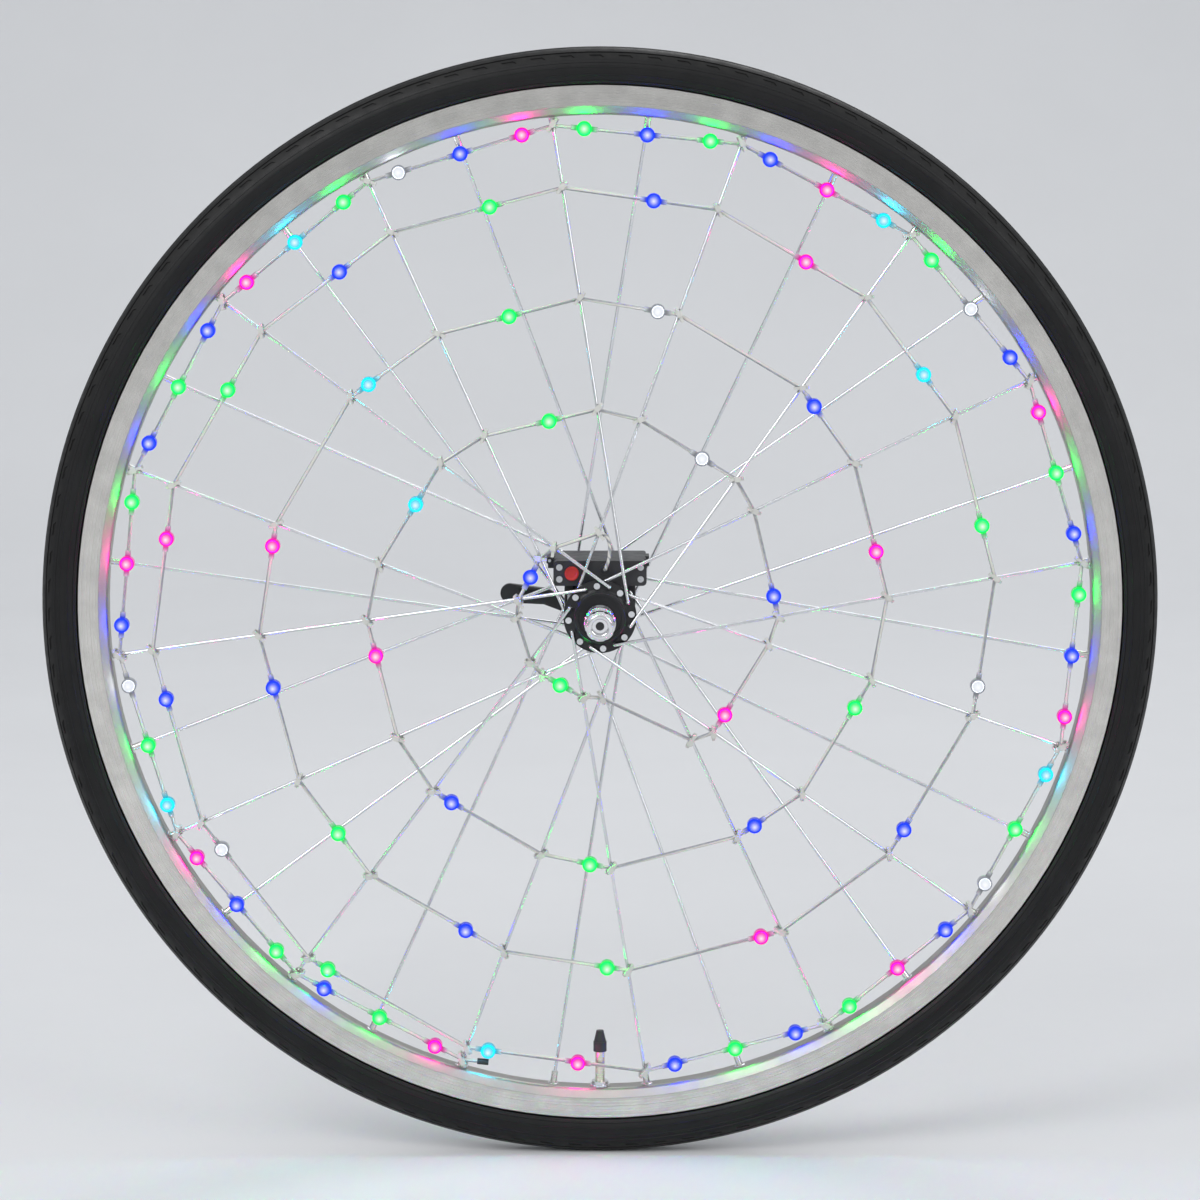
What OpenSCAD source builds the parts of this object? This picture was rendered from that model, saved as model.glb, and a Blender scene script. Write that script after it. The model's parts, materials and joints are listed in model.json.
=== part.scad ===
// Spoked bicycle wheel with a string of lights laid in a spiral over its spokes.
// The origin is the wheel's centre. The axle lies along Y, -Y is the skewer nut's side, +Z is up.

/* [Tyre and rim] */
// Bead seat diameter shared by the rim and the tyre
bead_seat_d = 622; // [590:1:630]
// Width of the tyre
tyre_w = 28; // [25:0.5:32]
// Thickness of the tyre casing
casing_t = 2.4; // [1.8:0.1:2.8]
// Wall of the inner tube
tube_wall = 0.9; // [0.6:0.1:1.2]
// Outside width of the rim
rim_w = 20; // [19:0.5:23]
// Depth of the rim from flange top to spoke bed
rim_depth = 18.5; // [17.5:0.5:22]
// Height of the rim flange above the bead seat
rim_flange_h = 6; // [5.5:0.5:7]
// Thickness of the rim flanges
rim_flange_t = 2.1; // [1.7:0.1:2.4]
// Height of the flat brake track
brake_track_h = 13; // [11:0.5:14]
// Thickness of the rim wall that the nipples pull on
bed_t = 2; // [1.6:0.1:2.4]
// Length of the valve stem inside the spoke bed
valve_len = 34; // [26:1:45]
// Diameter of the valve stem
valve_d = 6; // [5.5:0.1:6.5]

/* [Spokes and hub] */
// Diameter of a spoke
spoke_d = 2; // [1.8:0.1:2.2]
// Diameter of the nipple body
nipple_d = 4; // [3.8:0.1:4.4]
// Length of a nipple from its seat
nipple_len = 12; // [11:0.5:14]
// Distance between the middles of the hub flanges
flange_gap = 70; // [66:1:72]
// Thickness of a hub flange
flange_t = 3; // [2.6:0.1:3.4]
// Diameter of a hub flange
flange_d = 44; // [43:0.5:46]
// Circle through the spoke holes of a flange
spoke_pcd = 38; // [37:0.5:39]
// Diameter of the hub barrel between the flanges
barrel_d = 30; // [28:0.5:31]

/* [Bearings] */
// Diameter of a bearing ball
ball_d = 4.76; // [4.5:0.02:5]
// Balls in each bearing
ball_count = 10; // [8:1:10]
// Circle through the ball centres
ball_pcd = 18; // [17.6:0.1:18.4]

/* [Axle and skewer] */
// Distance between the outer faces of the locknuts
over_locknuts = 100; // [98:1:104]
// Diameter of the axle
axle_d = 9; // [8.6:0.1:9.2]
// Bore of the axle
axle_bore = 5.6; // [5.4:0.1:6]
// Length of axle that stands past each locknut
axle_stub = 4.5; // [4:0.1:5]
// Room between locknut and skewer face for a fork end
fork_end_room = 7; // [6.5:0.1:8]
// Diameter of the skewer rod
rod_d = 5; // [4.8:0.1:5.1]
// Length of the skewer nut
nut_len = 18; // [16:0.5:20]
// Diameter of the skewer nut
nut_d = 19; // [18:0.5:21]
// Reach of the skewer lever from its cam shaft
lever_reach = 62; // [55:1:68]

/* [Battery pack] */
// Diameter of a battery
cell_d = 10.5; // [10.2:0.1:10.6]
// Length of a battery with its cap
cell_len = 44.5; // [43:0.5:45]
// Wall of the battery case
case_wall = 1.8; // [1.5:0.1:2.1]
// Depth of the room for the control board
board_room = 7; // [6.6:0.1:7.4]
// Diameter of the push button
button_d = 8.6; // [7.5:0.1:9]
// Stroke of the push button
button_stroke = 0.8; // [0.5:0.1:0.9]
// Width of the strap round the hub
strap_w = 16; // [12:1:18]
// Thickness of the strap
strap_t = 1.5; // [1.2:0.1:1.6]

/* [Light string] */
// Diameter of the light string's cable
cable_d = 2.2; // [1.8:0.1:2.4]
// Radius of the half turn nearest the hub
inner_turn_r = 50; // [48:0.5:54]
// Radius at which the spiral starts
spiral_r = 95; // [92:1:105]
// Turns of the spiral
spiral_turns = 3; // [2:1:4]
// Distance of the last turn inside the rim
ring_inset = 5; // [4.5:0.1:6]
// Distance between lights along the cable
led_pitch = 100; // [80:5:140]
// Lights between two ties of the last turn
ring_lights = 3; // [1:1:3]

/* [Lights and ties] */
// Diameter of a light's round housing
led_d = 9; // [8.4:0.1:9.6]
// Diameter of a light's lens
lens_d = 7.2; // [6.6:0.1:7.4]
// Length of a light's housing along the cable
led_len = 16; // [14:0.5:18]
// Width of a cable tie
tie_w = 2; // [1.6:0.1:2.4]
// Thickness of a cable tie
tie_t = 0.8; // [0.6:0.1:1]

/* [Clearances] */
// Gap between parts that turn or slide on each other
run_fit = 0.06; // [0.04:0.01:0.08]
// Gap between parts that are pressed or screwed together
press_gap = 0.05; // [0.03:0.01:0.08]
// Gap between parts that lie against each other
lay_gap = 0.2; // [0.15:0.05:0.3]

/* [Hidden] */
$fn = 96;

// Tyre and rim
bead_r = bead_seat_d / 2;
rim_top_r = bead_r + rim_flange_h;
brake_r = rim_top_r - brake_track_h;
bed_r = rim_top_r - rim_depth;
bed_w = rim_w * 0.62;
rim_in_w = rim_w - 2 * rim_flange_t;
hook_r = 0.9;
well_r = bead_r - 3;
well_w = rim_in_w - 5;
bridge_t = 1.4;
cavity_top_r = well_r - bridge_t;
tape_t = 0.7;
tape_r = well_r + press_gap + tape_t;
section_r = bead_r + tyre_w / 2;
bulge_r = rim_top_r + 2 * lay_gap;
neck_w = rim_in_w - 2 * hook_r - 2 * lay_gap;
neck_hollow_w = neck_w - 2 * casing_t;
bead_foot_r = 1.8;

// Lacing, with hole numbers counted from the valve
spoke_count = 32;
crosses = 3;
valve_angle = 270;
nipple_head_r = nipple_d / 2 + 1;
nipple_hole_r = nipple_d / 2 + 0.2;
seat_r = bed_r + bed_t + sqrt(nipple_head_r * nipple_head_r - nipple_hole_r * nipple_hole_r) + 0.25;
spoke_hole_d = spoke_d + 0.6;
elbow_off = flange_t / 2 + spoke_d / 2 + lay_gap;
spoke_head_r = spoke_d / 2 + 0.9;
spoke_head_h = 1.2;
nipple_end_r = seat_r - nipple_len;

// Hub
flange_y = flange_gap / 2;
flange_r = flange_d / 2;
barrel_r = barrel_d / 2;
housing_r = 15.6;
hub_bore_r = 6;
hub_fillet = spoke_pcd / 2 - spoke_head_r - barrel_r - 0.4;
ball_y = flange_y - 2;
cup_seat_y = ball_y - 4.5;
cup_r = 13;
hub_end_y = flange_y + 5.5;
cone_r = 7.6;
cone_end_y = over_locknuts / 2 - 6;
washer_t = 1.5;
locknut_r = 9.2;
cone_flat_x = cone_r - 1.2;
stub_gap = 0.3;
relief_w = 1.5;
relief_t = 0.4;
groove_r = ball_d / 2 + run_fit;
cage_off = ball_d / 2 - 0.18;
cage_pocket_r = sqrt(groove_r * groove_r - cage_off * cage_off) + 0.05;

// Skewer
locknut_y = over_locknuts / 2;
clamp_y = locknut_y + fork_end_room;
spring_pocket_r = 7.4;
spring_pocket_h = 3.2;
lever_y = clamp_y + 9;
head_r = 8.6;
shaft_r = 4;
eye_r = 5.6;
head_boss_z = 9.7;

// Battery pack, which stands on top of the hub barrel with its front set back from the nut side flange
floor_z = barrel_r + 2.6;
cell_pitch = cell_d + 0.5;
cell_z = floor_z + case_wall + cell_d / 2 + 0.3;
cell_room_y = 1.5 * cell_pitch + 0.2;
cell_room_x = cell_len / 2 + 4;
case_x = cell_room_x + case_wall;
case_far_y = cell_room_y + case_wall;
split_z = cell_z + cell_d / 2 + 0.6;
roof_z = split_z + 2;
divider_y = -cell_room_y - 1.4;
cover_y = divider_y - board_room;
cover_t = 2;
front_y = cover_y - cover_t;
pack_inset = 7.9;
pack_y = pack_inset - flange_y - front_y;
lid_front_y = divider_y + 0.6;
lid_lip_h = 1.2;
lid_lip_t = 1.2;
lid_gap = 0.05;
seal_t = 0.6;
hinge_x = -case_x - 2.4;
hinge_z = split_z + 0.5;
knuckle_r = 2.2;
pin_r = 0.9;
mid_z = (floor_z + roof_z) / 2;
button_x = -17;
gland_x = 3;
gland_z = roof_z - 5;
screw_x = case_x - 3.6;
screw_z_low = floor_z + 4;
screw_z_high = roof_z - 4;
screw_r = 1;
board_t = 1;
board_y = divider_y - 0.2;
board_front_y = board_y - board_t;
switch_h = 3.2;
strap_leg_x = barrel_r + lay_gap;
strap_bar_r = 1.5;
strap_bar_x = strap_leg_x + strap_t + strap_bar_r + 0.1;
strap_bar_z = floor_z - strap_t - strap_bar_r - 0.5;
strap_tail_z = 3;

// Light string, with its supports counted along the cable
near_count = spoke_count / 2;
cable_r = cable_d / 2;
ring_r = bed_r - ring_inset;
inner_count = near_count / 2 + 1;
spiral_count = near_count * spiral_turns;
support_count = inner_count + spiral_count + near_count - 1;
gland_out_y = pack_y + front_y - 2.6;
lens_r = lens_d / 2;
led_r = led_d / 2;
tie_slack = 0.4;
tie_tail = 4;
led_margin = led_len / 2 + 5;
valve_share = 1.5 / 2;
valve_room = valve_d / 2 + led_len / 2 + 3;
sleeve_t = 0.6;
led_back = 0.8;
led_front = 2.6;

// Points of a round stretch of an outline
function arc(c, r, a0, a1, n = 6) =
    [for (i = [0 : n]) c + r * [cos(a0 + (a1 - a0) * i / n), sin(a0 + (a1 - a0) * i / n)]];

// Outline of a rectangle with four round corners
function rounded(x0, x1, y0, y1, r, n = 6) = concat(
    arc([x1 - r, y1 - r], r, 0, 90, n), arc([x0 + r, y1 - r], r, 90, 180, n),
    arc([x0 + r, y0 + r], r, 180, 270, n), arc([x1 - r, y0 + r], r, 270, 360, n));

function unit(v) = v / norm(v);

// Placement whose X is x and whose Z is n, at o
function placed(x, n, o) = let (w = cross(n, x)) [
    [x[0], w[0], n[0], o[0]], [x[1], w[1], n[1], o[1]], [x[2], w[2], n[2], o[2]], [0, 0, 0, 1]];

// Placement whose Z runs along d
function along(d, o) = placed(unit(cross([0, 1, 0.01], d)), d, o);

// Point at radius r, angle a and depth y
function polar(r, a, y = 0) = [r * cos(a), y, r * sin(a)];

// Spokes by the number of their rim hole
function rim_angle(m) = valve_angle + (m + 0.5) * 360 / spoke_count;
function side_of(m) = m % 2 == 0 ? -1 : 1;
function is_outer(m) = floor(m / 2) % 2 == 0;
function hub_angle(m) = rim_angle(m) - (is_outer(m) ? 1 : -1) * crosses * 720 / spoke_count;
function elbow(m) = polar(spoke_pcd / 2, hub_angle(m),
    side_of(m) * (flange_y + (is_outer(m) ? 1 : -1) * elbow_off));
function seat(m) = polar(seat_r, rim_angle(m));
function spoke_dir(m) = unit(seat(m) - elbow(m));

// Point on a spoke's middle line at radius r
function spoke_at(m, r) = let (
    h = elbow(m), d = seat(m) - h,
    a = d[0] * d[0] + d[2] * d[2], b = 2 * (h[0] * d[0] + h[2] * d[2]),
    c = h[0] * h[0] + h[2] * h[2] - r * r)
    h + d * (-b + sqrt(b * b - 4 * a * c)) / (2 * a);

// Supports of the light string: rim hole number and radius
function inner_hole(i) = (i % 2 == 0 ? 14 : 18) + 2 * i;
function support_hole(k) = (k < inner_count ? inner_hole(k)
    : 2 + 2 * (k - inner_count)) % spoke_count;
function support_r(k) = k < inner_count ? inner_turn_r
    : min(ring_r, spiral_r + (ring_r - spiral_r) * (k - inner_count) / spiral_count);
function on_nipple(k) = support_r(k) > nipple_end_r - tie_w;
function held_r(k) = on_nipple(k) ? nipple_d / 2 : spoke_d / 2;
function support(k) = spoke_at(support_hole(k), support_r(k));
function cable_off(k) = held_r(k) + lay_gap + cable_r;

// Route of the cable from the control board to its closed end
lead_in = [[gland_x, pack_y + board_front_y - 0.2, gland_z], [gland_x, gland_out_y - 1, gland_z],
    [gland_x + 0.4, gland_out_y - 2.5, gland_z + 1.2], [gland_x + 2.5, gland_out_y - 3.3, inner_turn_r - 15],
    [gland_x + 3, gland_out_y - 2.6, inner_turn_r - 7],
    [gland_x + 1.2, gland_out_y - 1.5, inner_turn_r - 1.4]];
supports = [for (k = [0 : support_count - 1]) support(k) + [0, -cable_off(k), 0]];
tail_dir = unit(support(support_count) - [0, cable_off(support_count), 0] - supports[support_count - 1]);
route = concat(lead_in, supports, [supports[support_count - 1] + 14 * tail_dir]);
route_n = len(route);
first_support = len(lead_in);
steps = [for (i = [0 : route_n - 2]) norm(route[i + 1] - route[i])];
lengths = [for (i = 0, s = 0; i < route_n; s = s + (i < route_n - 1 ? steps[i] : 0), i = i + 1) s];
cable_len = lengths[route_n - 1];

// Lights along the cable, each between two supports, clear of the valve, and closer together on the last turn
led_start = lengths[first_support] + 30;
ring_step = first_support + inner_count + spiral_count - 1;
inner_lights = floor((lengths[ring_step] - led_start) / led_pitch) + 1;
led_count = inner_lights + ring_lights * (route_n - 2 - ring_step);
function long_step(i) = steps[i] < 2 * led_margin ? long_step(i + 1) : i;
function led_step(s) = long_step(len([for (v = lengths) if (v <= s) 1]) - 1);
function passes_valve(k) = let (s = max(0, k - first_support))
    support_hole(s) == spoke_count - 2 && support_r(s) > bed_r - valve_len - led_d;
function last_spot(k) = passes_valve(k) ? valve_share * steps[k] - valve_room : steps[k] - led_margin;
function led_spot(i) = i < inner_lights
    ? let (s = led_start + led_pitch * i, k = led_step(s))
        [k, max(led_margin, min(last_spot(k), s - lengths[k]))]
    : let (j = i - inner_lights, k = ring_step + floor(j / ring_lights))
        [k, steps[k] * (j % ring_lights + 0.5) / ring_lights];
function led_at(i) = let (
    spot = led_spot(i), k = spot[0], u = unit(route[k + 1] - route[k]), n = unit([0, -1, 0] + u[1] * u))
    placed(u, n, route[k] + spot[1] * u);
led_colours = [1, 3, 0, 1, 4, 3, 2, 0, 1, 3];
function led_colour(i) = led_colours[i % len(led_colours)];

// Rings of a round cable that is mitred at each point of its route
function cable_dir(q, i) = unit(q[min(i + 1, len(q) - 1)] - q[min(i, len(q) - 2)]);
function mitre(q, i) = i == 0 ? cable_dir(q, 0) : unit(cable_dir(q, i - 1) + cable_dir(q, i));
function ring(q, i, o) = let (u = cable_dir(q, max(0, i - 1)), b = mitre(q, i))
    [for (v = o) q[i] + v - u * (v * b) / (u * b)];
function carried(q, i, o) = let (v = cable_dir(q, i))
    [for (p = ring(q, i, o)) (p - q[i]) - v * ((p - q[i]) * v)];
function first_ring(q, r, n) = let (u = cable_dir(q, 0), e = unit(cross(u, [0.2, 0.1, 1])), f = cross(u, e))
    [for (j = [0 : n - 1]) r * (e * cos(360 * j / n) + f * sin(360 * j / n))];

module cable(q, r, n) {
    rings = [for (i = 0, o = first_ring(q, r, n); i < len(q); o = carried(q, i, o), i = i + 1) ring(q, i, o)];
    points = [for (g = rings) for (p = g) p];
    last = (len(q) - 1) * n;
    polyhedron(points, concat(
        [[for (j = [0 : n - 1]) j]],
        [for (i = [0 : len(q) - 2]) for (j = [0 : n - 1])
            [i * n + j, (i + 1) * n + j, (i + 1) * n + (j + 1) % n, i * n + (j + 1) % n]],
        [[for (j = [n - 1 : -1 : 0]) last + j]]));
}

// Frames that several modules share
module revolve() rotate([-90, 0, 0]) rotate_extrude() children();
module both_sides() for (s = [0, 1]) mirror([0, s, 0]) children();
module prism_y(pts, y0, y1) translate([0, y1, 0]) rotate([90, 0, 0]) linear_extrude(y1 - y0) polygon(pts);
module rod_y(x, z, r, y0, y1) translate([x, y1, z]) rotate([90, 0, 0]) cylinder(r = r, h = y1 - y0);

// Tyre and inner tube
module tube_section(inset) {
    intersection() {
        translate([section_r, 0]) circle(tyre_w / 2 - casing_t - inset);
        translate([bulge_r + casing_t + inset, -tyre_w]) square([2 * tyre_w, 2 * tyre_w]);
    }
    translate([tape_r + inset, -neck_hollow_w / 2 + inset])
        square([section_r - tape_r - inset, neck_hollow_w - 2 * inset]);
}

module tyre() color([0.07, 0.07, 0.07]) revolve() difference() {
    union() {
        intersection() {
            translate([section_r, 0]) circle(tyre_w / 2);
            translate([bulge_r, -tyre_w]) square([2 * tyre_w, 2 * tyre_w]);
        }
        translate([bead_r + lay_gap + 0.5, -neck_w / 2]) square([bulge_r - bead_r, neck_w]);
        for (s = [-1, 1])
            translate([bead_r + lay_gap + bead_foot_r, s * (rim_in_w / 2 - lay_gap - bead_foot_r)])
            circle(bead_foot_r);
    }
    tube_section(0);
    translate([bead_r - 2, -neck_hollow_w / 2]) square([6, neck_hollow_w]);
    for (y = [-0.32, -0.12, 0.12, 0.32] * tyre_w)
        translate([section_r + sqrt(tyre_w * tyre_w / 4 - y * y) - 0.6, y - 0.5])
        square([4, 1]);
}

module inner_tube() color([0.12, 0.12, 0.13]) revolve() difference() {
    tube_section(lay_gap);
    tube_section(lay_gap + tube_wall);
}

// Rim with its box section, nipple holes and valve hole
module rim_section() difference() {
    polygon(concat(
        [[rim_top_r, -rim_w / 2 + 0.7], [rim_top_r, rim_w / 2 - 0.7],
            [rim_top_r - 0.7, rim_w / 2], [brake_r, rim_w / 2]],
        [[bed_r + 1.2, bed_w / 2 + 1], [bed_r + 0.35, bed_w / 2], [bed_r, bed_w / 2 - 1.4]],
        [[bed_r, -bed_w / 2 + 1.4], [bed_r + 0.35, -bed_w / 2], [bed_r + 1.2, -bed_w / 2 - 1]],
        [[brake_r, -rim_w / 2], [rim_top_r - 0.7, -rim_w / 2]]));
    difference() {
        translate([bead_r, -rim_in_w / 2]) square([rim_flange_h + 1, rim_in_w]);
        for (s = [-1, 1]) translate([rim_top_r - hook_r - 0.15, s * rim_in_w / 2]) circle(hook_r);
    }
    translate([well_r, -well_w / 2]) square([5, well_w]);
    polygon([[cavity_top_r, -rim_w / 2 + 1.6], [cavity_top_r, rim_w / 2 - 1.6], [brake_r, rim_w / 2 - 1.6],
        [bed_r + bed_t, bed_w / 2 - 0.6], [bed_r + bed_t, -bed_w / 2 + 0.6], [brake_r, -rim_w / 2 + 1.6]]);
}

module rim() color([0.78, 0.79, 0.8]) difference() {
    revolve() rim_section();
    for (m = [0 : spoke_count - 1]) {
        multmatrix(along(-spoke_dir(m), seat(m))) cylinder(r = nipple_hole_r, h = 9);
        multmatrix(along(polar(1, rim_angle(m)), polar(cavity_top_r - 1, rim_angle(m))))
            cylinder(r = 4, h = 6);
    }
    multmatrix(along(polar(1, valve_angle), polar(bed_r - 2, valve_angle)))
        cylinder(r = valve_d / 2 + lay_gap, h = 16);
}

module rim_tape() color([0.85, 0.2, 0.15]) difference() {
    revolve() translate([well_r + press_gap, -well_w / 2 + lay_gap]) square([tape_t, well_w - 2 * lay_gap]);
    multmatrix(along(polar(1, valve_angle), polar(bed_r, valve_angle)))
        cylinder(r = valve_d / 2 + lay_gap, h = 16);
}

// Valve, drawn with its own Z toward the axle
module at_valve() multmatrix(along(-polar(1, valve_angle), polar(bed_r, valve_angle))) children();
valve_top = tape_r + lay_gap - press_gap - bed_r;

module valve_stem() color([0.72, 0.6, 0.32]) at_valve() {
    translate([0, 0, -valve_top]) cylinder(d = valve_d, h = valve_top + valve_len - 8);
    translate([0, 0, valve_len - 8.5]) cylinder(r = 2.1, h = 4.5);
    translate([0, 0, valve_len - 4.5]) cylinder(r = 1, h = 3.5);
}

module valve_nut() color([0.8, 0.8, 0.8]) at_valve() difference() {
    union() {
        translate([0, 0, lay_gap]) cylinder(r = valve_d / 2 + 3.2, h = 1.2);
        translate([0, 0, 0.5]) cylinder(r = valve_d / 2 + 2.2, h = 2.8);
    }
    translate([0, 0, -1]) cylinder(r = valve_d / 2 + press_gap, h = 6);
    for (a = [0 : 30 : 330])
        rotate(a) translate([valve_d / 2 + 3.6, 0, -1]) cylinder(r = 0.8, h = 6, $fn = 24);
}

module valve_cap() color([0.1, 0.1, 0.1]) at_valve() difference() {
    union() {
        translate([0, 0, valve_len - 12]) cylinder(r = valve_d / 2 + 1.1, h = 6);
        translate([0, 0, valve_len - 6.2]) cylinder(r1 = valve_d / 2 + 0.9, r2 = 2.2, h = 7.2);
    }
    translate([0, 0, valve_len - 13]) cylinder(r = valve_d / 2 + press_gap, h = 5.4);
    translate([0, 0, valve_len - 8]) cylinder(r = 2.3, h = 4.6);
    translate([0, 0, valve_len - 4]) cylinder(r = 1.2, h = 3.6);
}

// Spokes, each with its elbow, head and threaded end inside a nipple
module spoke(m) {
    inward = (is_outer(m) ? -1 : 1) * side_of(m);
    shank = elbow_off + flange_t / 2 + 0.1;
    multmatrix(along(spoke_dir(m), elbow(m))) cylinder(d = spoke_d, h = norm(seat(m) - elbow(m)));
    translate(elbow(m)) {
        sphere(r = spoke_d / 2 + 0.06, $fn = 32);
        multmatrix(along([0, inward, 0], [0, 0, 0])) {
            cylinder(d = spoke_d, h = shank + 0.2);
            translate([0, 0, shank]) cylinder(r = spoke_head_r, h = spoke_head_h);
        }
    }
}

module spokes_nut_outer() color([0.82, 0.83, 0.85]) for (m = [0 : 4 : spoke_count - 1]) spoke(m);
module spokes_nut_inner() color([0.82, 0.83, 0.85]) for (m = [2 : 4 : spoke_count - 1]) spoke(m);
module spokes_lever_outer() color([0.82, 0.83, 0.85]) for (m = [1 : 4 : spoke_count - 1]) spoke(m);
module spokes_lever_inner() color([0.82, 0.83, 0.85]) for (m = [3 : 4 : spoke_count - 1]) spoke(m);

module nipples() color([0.7, 0.68, 0.62]) for (m = [0 : spoke_count - 1])
    multmatrix(along(-spoke_dir(m), seat(m))) difference() {
        union() {
            sphere(r = nipple_head_r, $fn = 48);
            cylinder(d = nipple_d, h = nipple_len);
        }
        translate([0, 0, -nipple_head_r - 1])
            cylinder(d = spoke_d + 2 * press_gap, h = nipple_len + nipple_head_r + 2);
        translate([-5, -5, -nipple_head_r - 3]) cube([10, 10, 4.4]);
    }

// Hub shell and its bearings
hub_half = concat(
    [[barrel_r, 0]],
    arc([barrel_r + hub_fillet, flange_y - flange_t / 2 - hub_fillet], hub_fillet, 180, 90, 5),
    [[flange_r - 0.6, flange_y - flange_t / 2], [flange_r, flange_y - flange_t / 2 + 0.6]],
    [[flange_r, flange_y + flange_t / 2 - 1.3], [housing_r + 1.4, flange_y + flange_t / 2]],
    [[housing_r, flange_y + flange_t / 2 + 1], [housing_r, hub_end_y - 0.8], [housing_r - 0.8, hub_end_y]],
    [[cup_r + press_gap, hub_end_y], [cup_r + press_gap, cup_seat_y], [hub_bore_r, cup_seat_y]]);
function flip(list) = [for (i = [len(list) - 1 : -1 : 1]) [list[i][0], -list[i][1]]];

module hub_shell() color([0.06, 0.06, 0.065]) difference() {
    revolve() polygon(concat(hub_half, flip(hub_half)));
    for (m = [0 : spoke_count - 1]) {
        p = polar(spoke_pcd / 2, hub_angle(m), side_of(m) * flange_y);
        rod_y(p[0], p[2], spoke_hole_d / 2, p[1] - flange_t, p[1] + flange_t);
    }
}

module bearing_cups() color([0.7, 0.7, 0.72]) both_sides() revolve() difference() {
    translate([hub_bore_r + 0.8, cup_seat_y + press_gap]) square([cup_r - hub_bore_r - 0.8, 8]);
    translate([ball_pcd / 2, ball_y]) circle(groove_r);
    translate([hub_bore_r, ball_y]) square([ball_pcd / 2 + groove_r - hub_bore_r - 0.2, 6]);
}

module dust_caps() color([0.35, 0.35, 0.37]) both_sides() revolve()
    translate([cone_r + 0.4, cup_seat_y + 8 + 2 * press_gap])
        square([cup_r - cone_r - 0.4, hub_end_y - cup_seat_y - 8 - 0.8]);

module ball_set() for (i = [0 : ball_count - 1]) rotate([0, 360 * i / ball_count, 0])
    translate([ball_pcd / 2, ball_y, 0]) sphere(d = ball_d, $fn = 32);

module ball_cage() difference() {
    revolve() translate([cone_r + 0.15, ball_y + cage_off]) square([ball_pcd - 2 * cone_r, 0.5]);
    for (i = [0 : ball_count - 1]) rotate([0, 360 * i / ball_count, 0])
        rod_y(ball_pcd / 2, 0, cage_pocket_r, ball_y, ball_y + 6);
}

module balls_nut_side() color([0.85, 0.85, 0.87]) mirror([0, 1, 0]) ball_set();
module balls_lever_side() color([0.85, 0.85, 0.87]) ball_set();
module cage_nut_side() color([0.6, 0.55, 0.4]) mirror([0, 1, 0]) ball_cage();
module cage_lever_side() color([0.6, 0.55, 0.4]) ball_cage();

// Axle with its cones, washers and locknuts
module axle() color([0.72, 0.73, 0.75]) revolve() difference() {
    translate([axle_bore / 2, -locknut_y - axle_stub])
        square([(axle_d - axle_bore) / 2, 2 * (locknut_y + axle_stub)]);
    for (y = [-locknut_y - stub_gap, locknut_y + stub_gap - relief_w]) translate([axle_d / 2 - relief_t, y])
        square([2 * relief_t, relief_w]);
}

module cones() color([0.68, 0.69, 0.72]) both_sides() difference() {
    revolve() difference() {
        translate([axle_d / 2 + press_gap, ball_y])
            square([cone_r - axle_d / 2 - press_gap, cone_end_y - ball_y]);
        translate([ball_pcd / 2, ball_y]) circle(groove_r);
    }
    for (x = [-cone_flat_x - cone_r, cone_flat_x]) translate([x, cone_end_y - 2.4, -2 * cone_r])
        cube([cone_r, 3, 4 * cone_r]);
}

module axle_washers() color([0.6, 0.6, 0.62]) both_sides() revolve()
    translate([axle_d / 2 + press_gap, cone_end_y]) square([8.6 - axle_d / 2, washer_t]);

module locknuts() color([0.66, 0.67, 0.7]) both_sides() difference() {
    rotate([-90, 0, 0]) translate([0, 0, cone_end_y + washer_t])
        cylinder(r = locknut_r, h = locknut_y - cone_end_y - washer_t, $fn = 6);
    rod_y(0, 0, axle_d / 2 + press_gap, 0, over_locknuts);
}

// Quick release skewer
module skewer_rod() color([0.6, 0.6, 0.62]) {
    rod_y(0, 0, rod_d / 2, -clamp_y - nut_len + 2.6, lever_y - eye_r + 1);
    translate([0, lever_y, 0]) difference() {
        translate([0, 0, -2.4]) cylinder(r = eye_r, h = 4.8);
        translate([0, 0, -5]) cylinder(r = shaft_r + run_fit, h = 10);
    }
}

module skewer_nut() color([0.86, 0.86, 0.88]) difference() {
    mirror([0, 1, 0]) revolve() difference() {
        polygon([[rod_d / 2 + run_fit, clamp_y], [nut_d / 2, clamp_y], [nut_d / 2, clamp_y + 3],
            [nut_d / 2 - 0.9, clamp_y + 4.2],
            [nut_d / 2 - 0.6, clamp_y + nut_len - 1.2], [nut_d / 2 - 1.8, clamp_y + nut_len],
            [rod_d / 2 + run_fit, clamp_y + nut_len]]);
        translate([0, clamp_y - 1]) square([spring_pocket_r, spring_pocket_h + 1]);
        translate([0, clamp_y + nut_len - 3]) square([4.6, 4]);
    }
    for (a = [22.5 : 45 : 360]) {
        p = polar(nut_d / 2 + 1.4, a);
        rod_y(p[0], p[2], 2.4, -clamp_y - nut_len - 1, -clamp_y - 5);
    }
}

module skewer_head() color([0.12, 0.12, 0.13]) difference() {
    union() {
        revolve() polygon([[0, clamp_y], [nut_d / 2, clamp_y], [nut_d / 2, clamp_y + 3],
            [head_r, clamp_y + 4.4],
            [head_r, clamp_y + 15.5], [head_r - 2, clamp_y + nut_len], [0, clamp_y + nut_len]]);
        translate([0, lever_y, -head_boss_z]) cylinder(r = 6.6, h = 2 * head_boss_z);
    }
    rod_y(0, 0, spring_pocket_r, clamp_y - 1, clamp_y + 1.6);
    rod_y(0, 0, rod_d / 2 + lay_gap, clamp_y - 1, lever_y);
    rod_y(0, 0, 6.5, lever_y - eye_r - 0.4, lever_y + eye_r + 0.4);
    translate([0, lever_y, -20]) cylinder(r = shaft_r + run_fit, h = 40);
}

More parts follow.
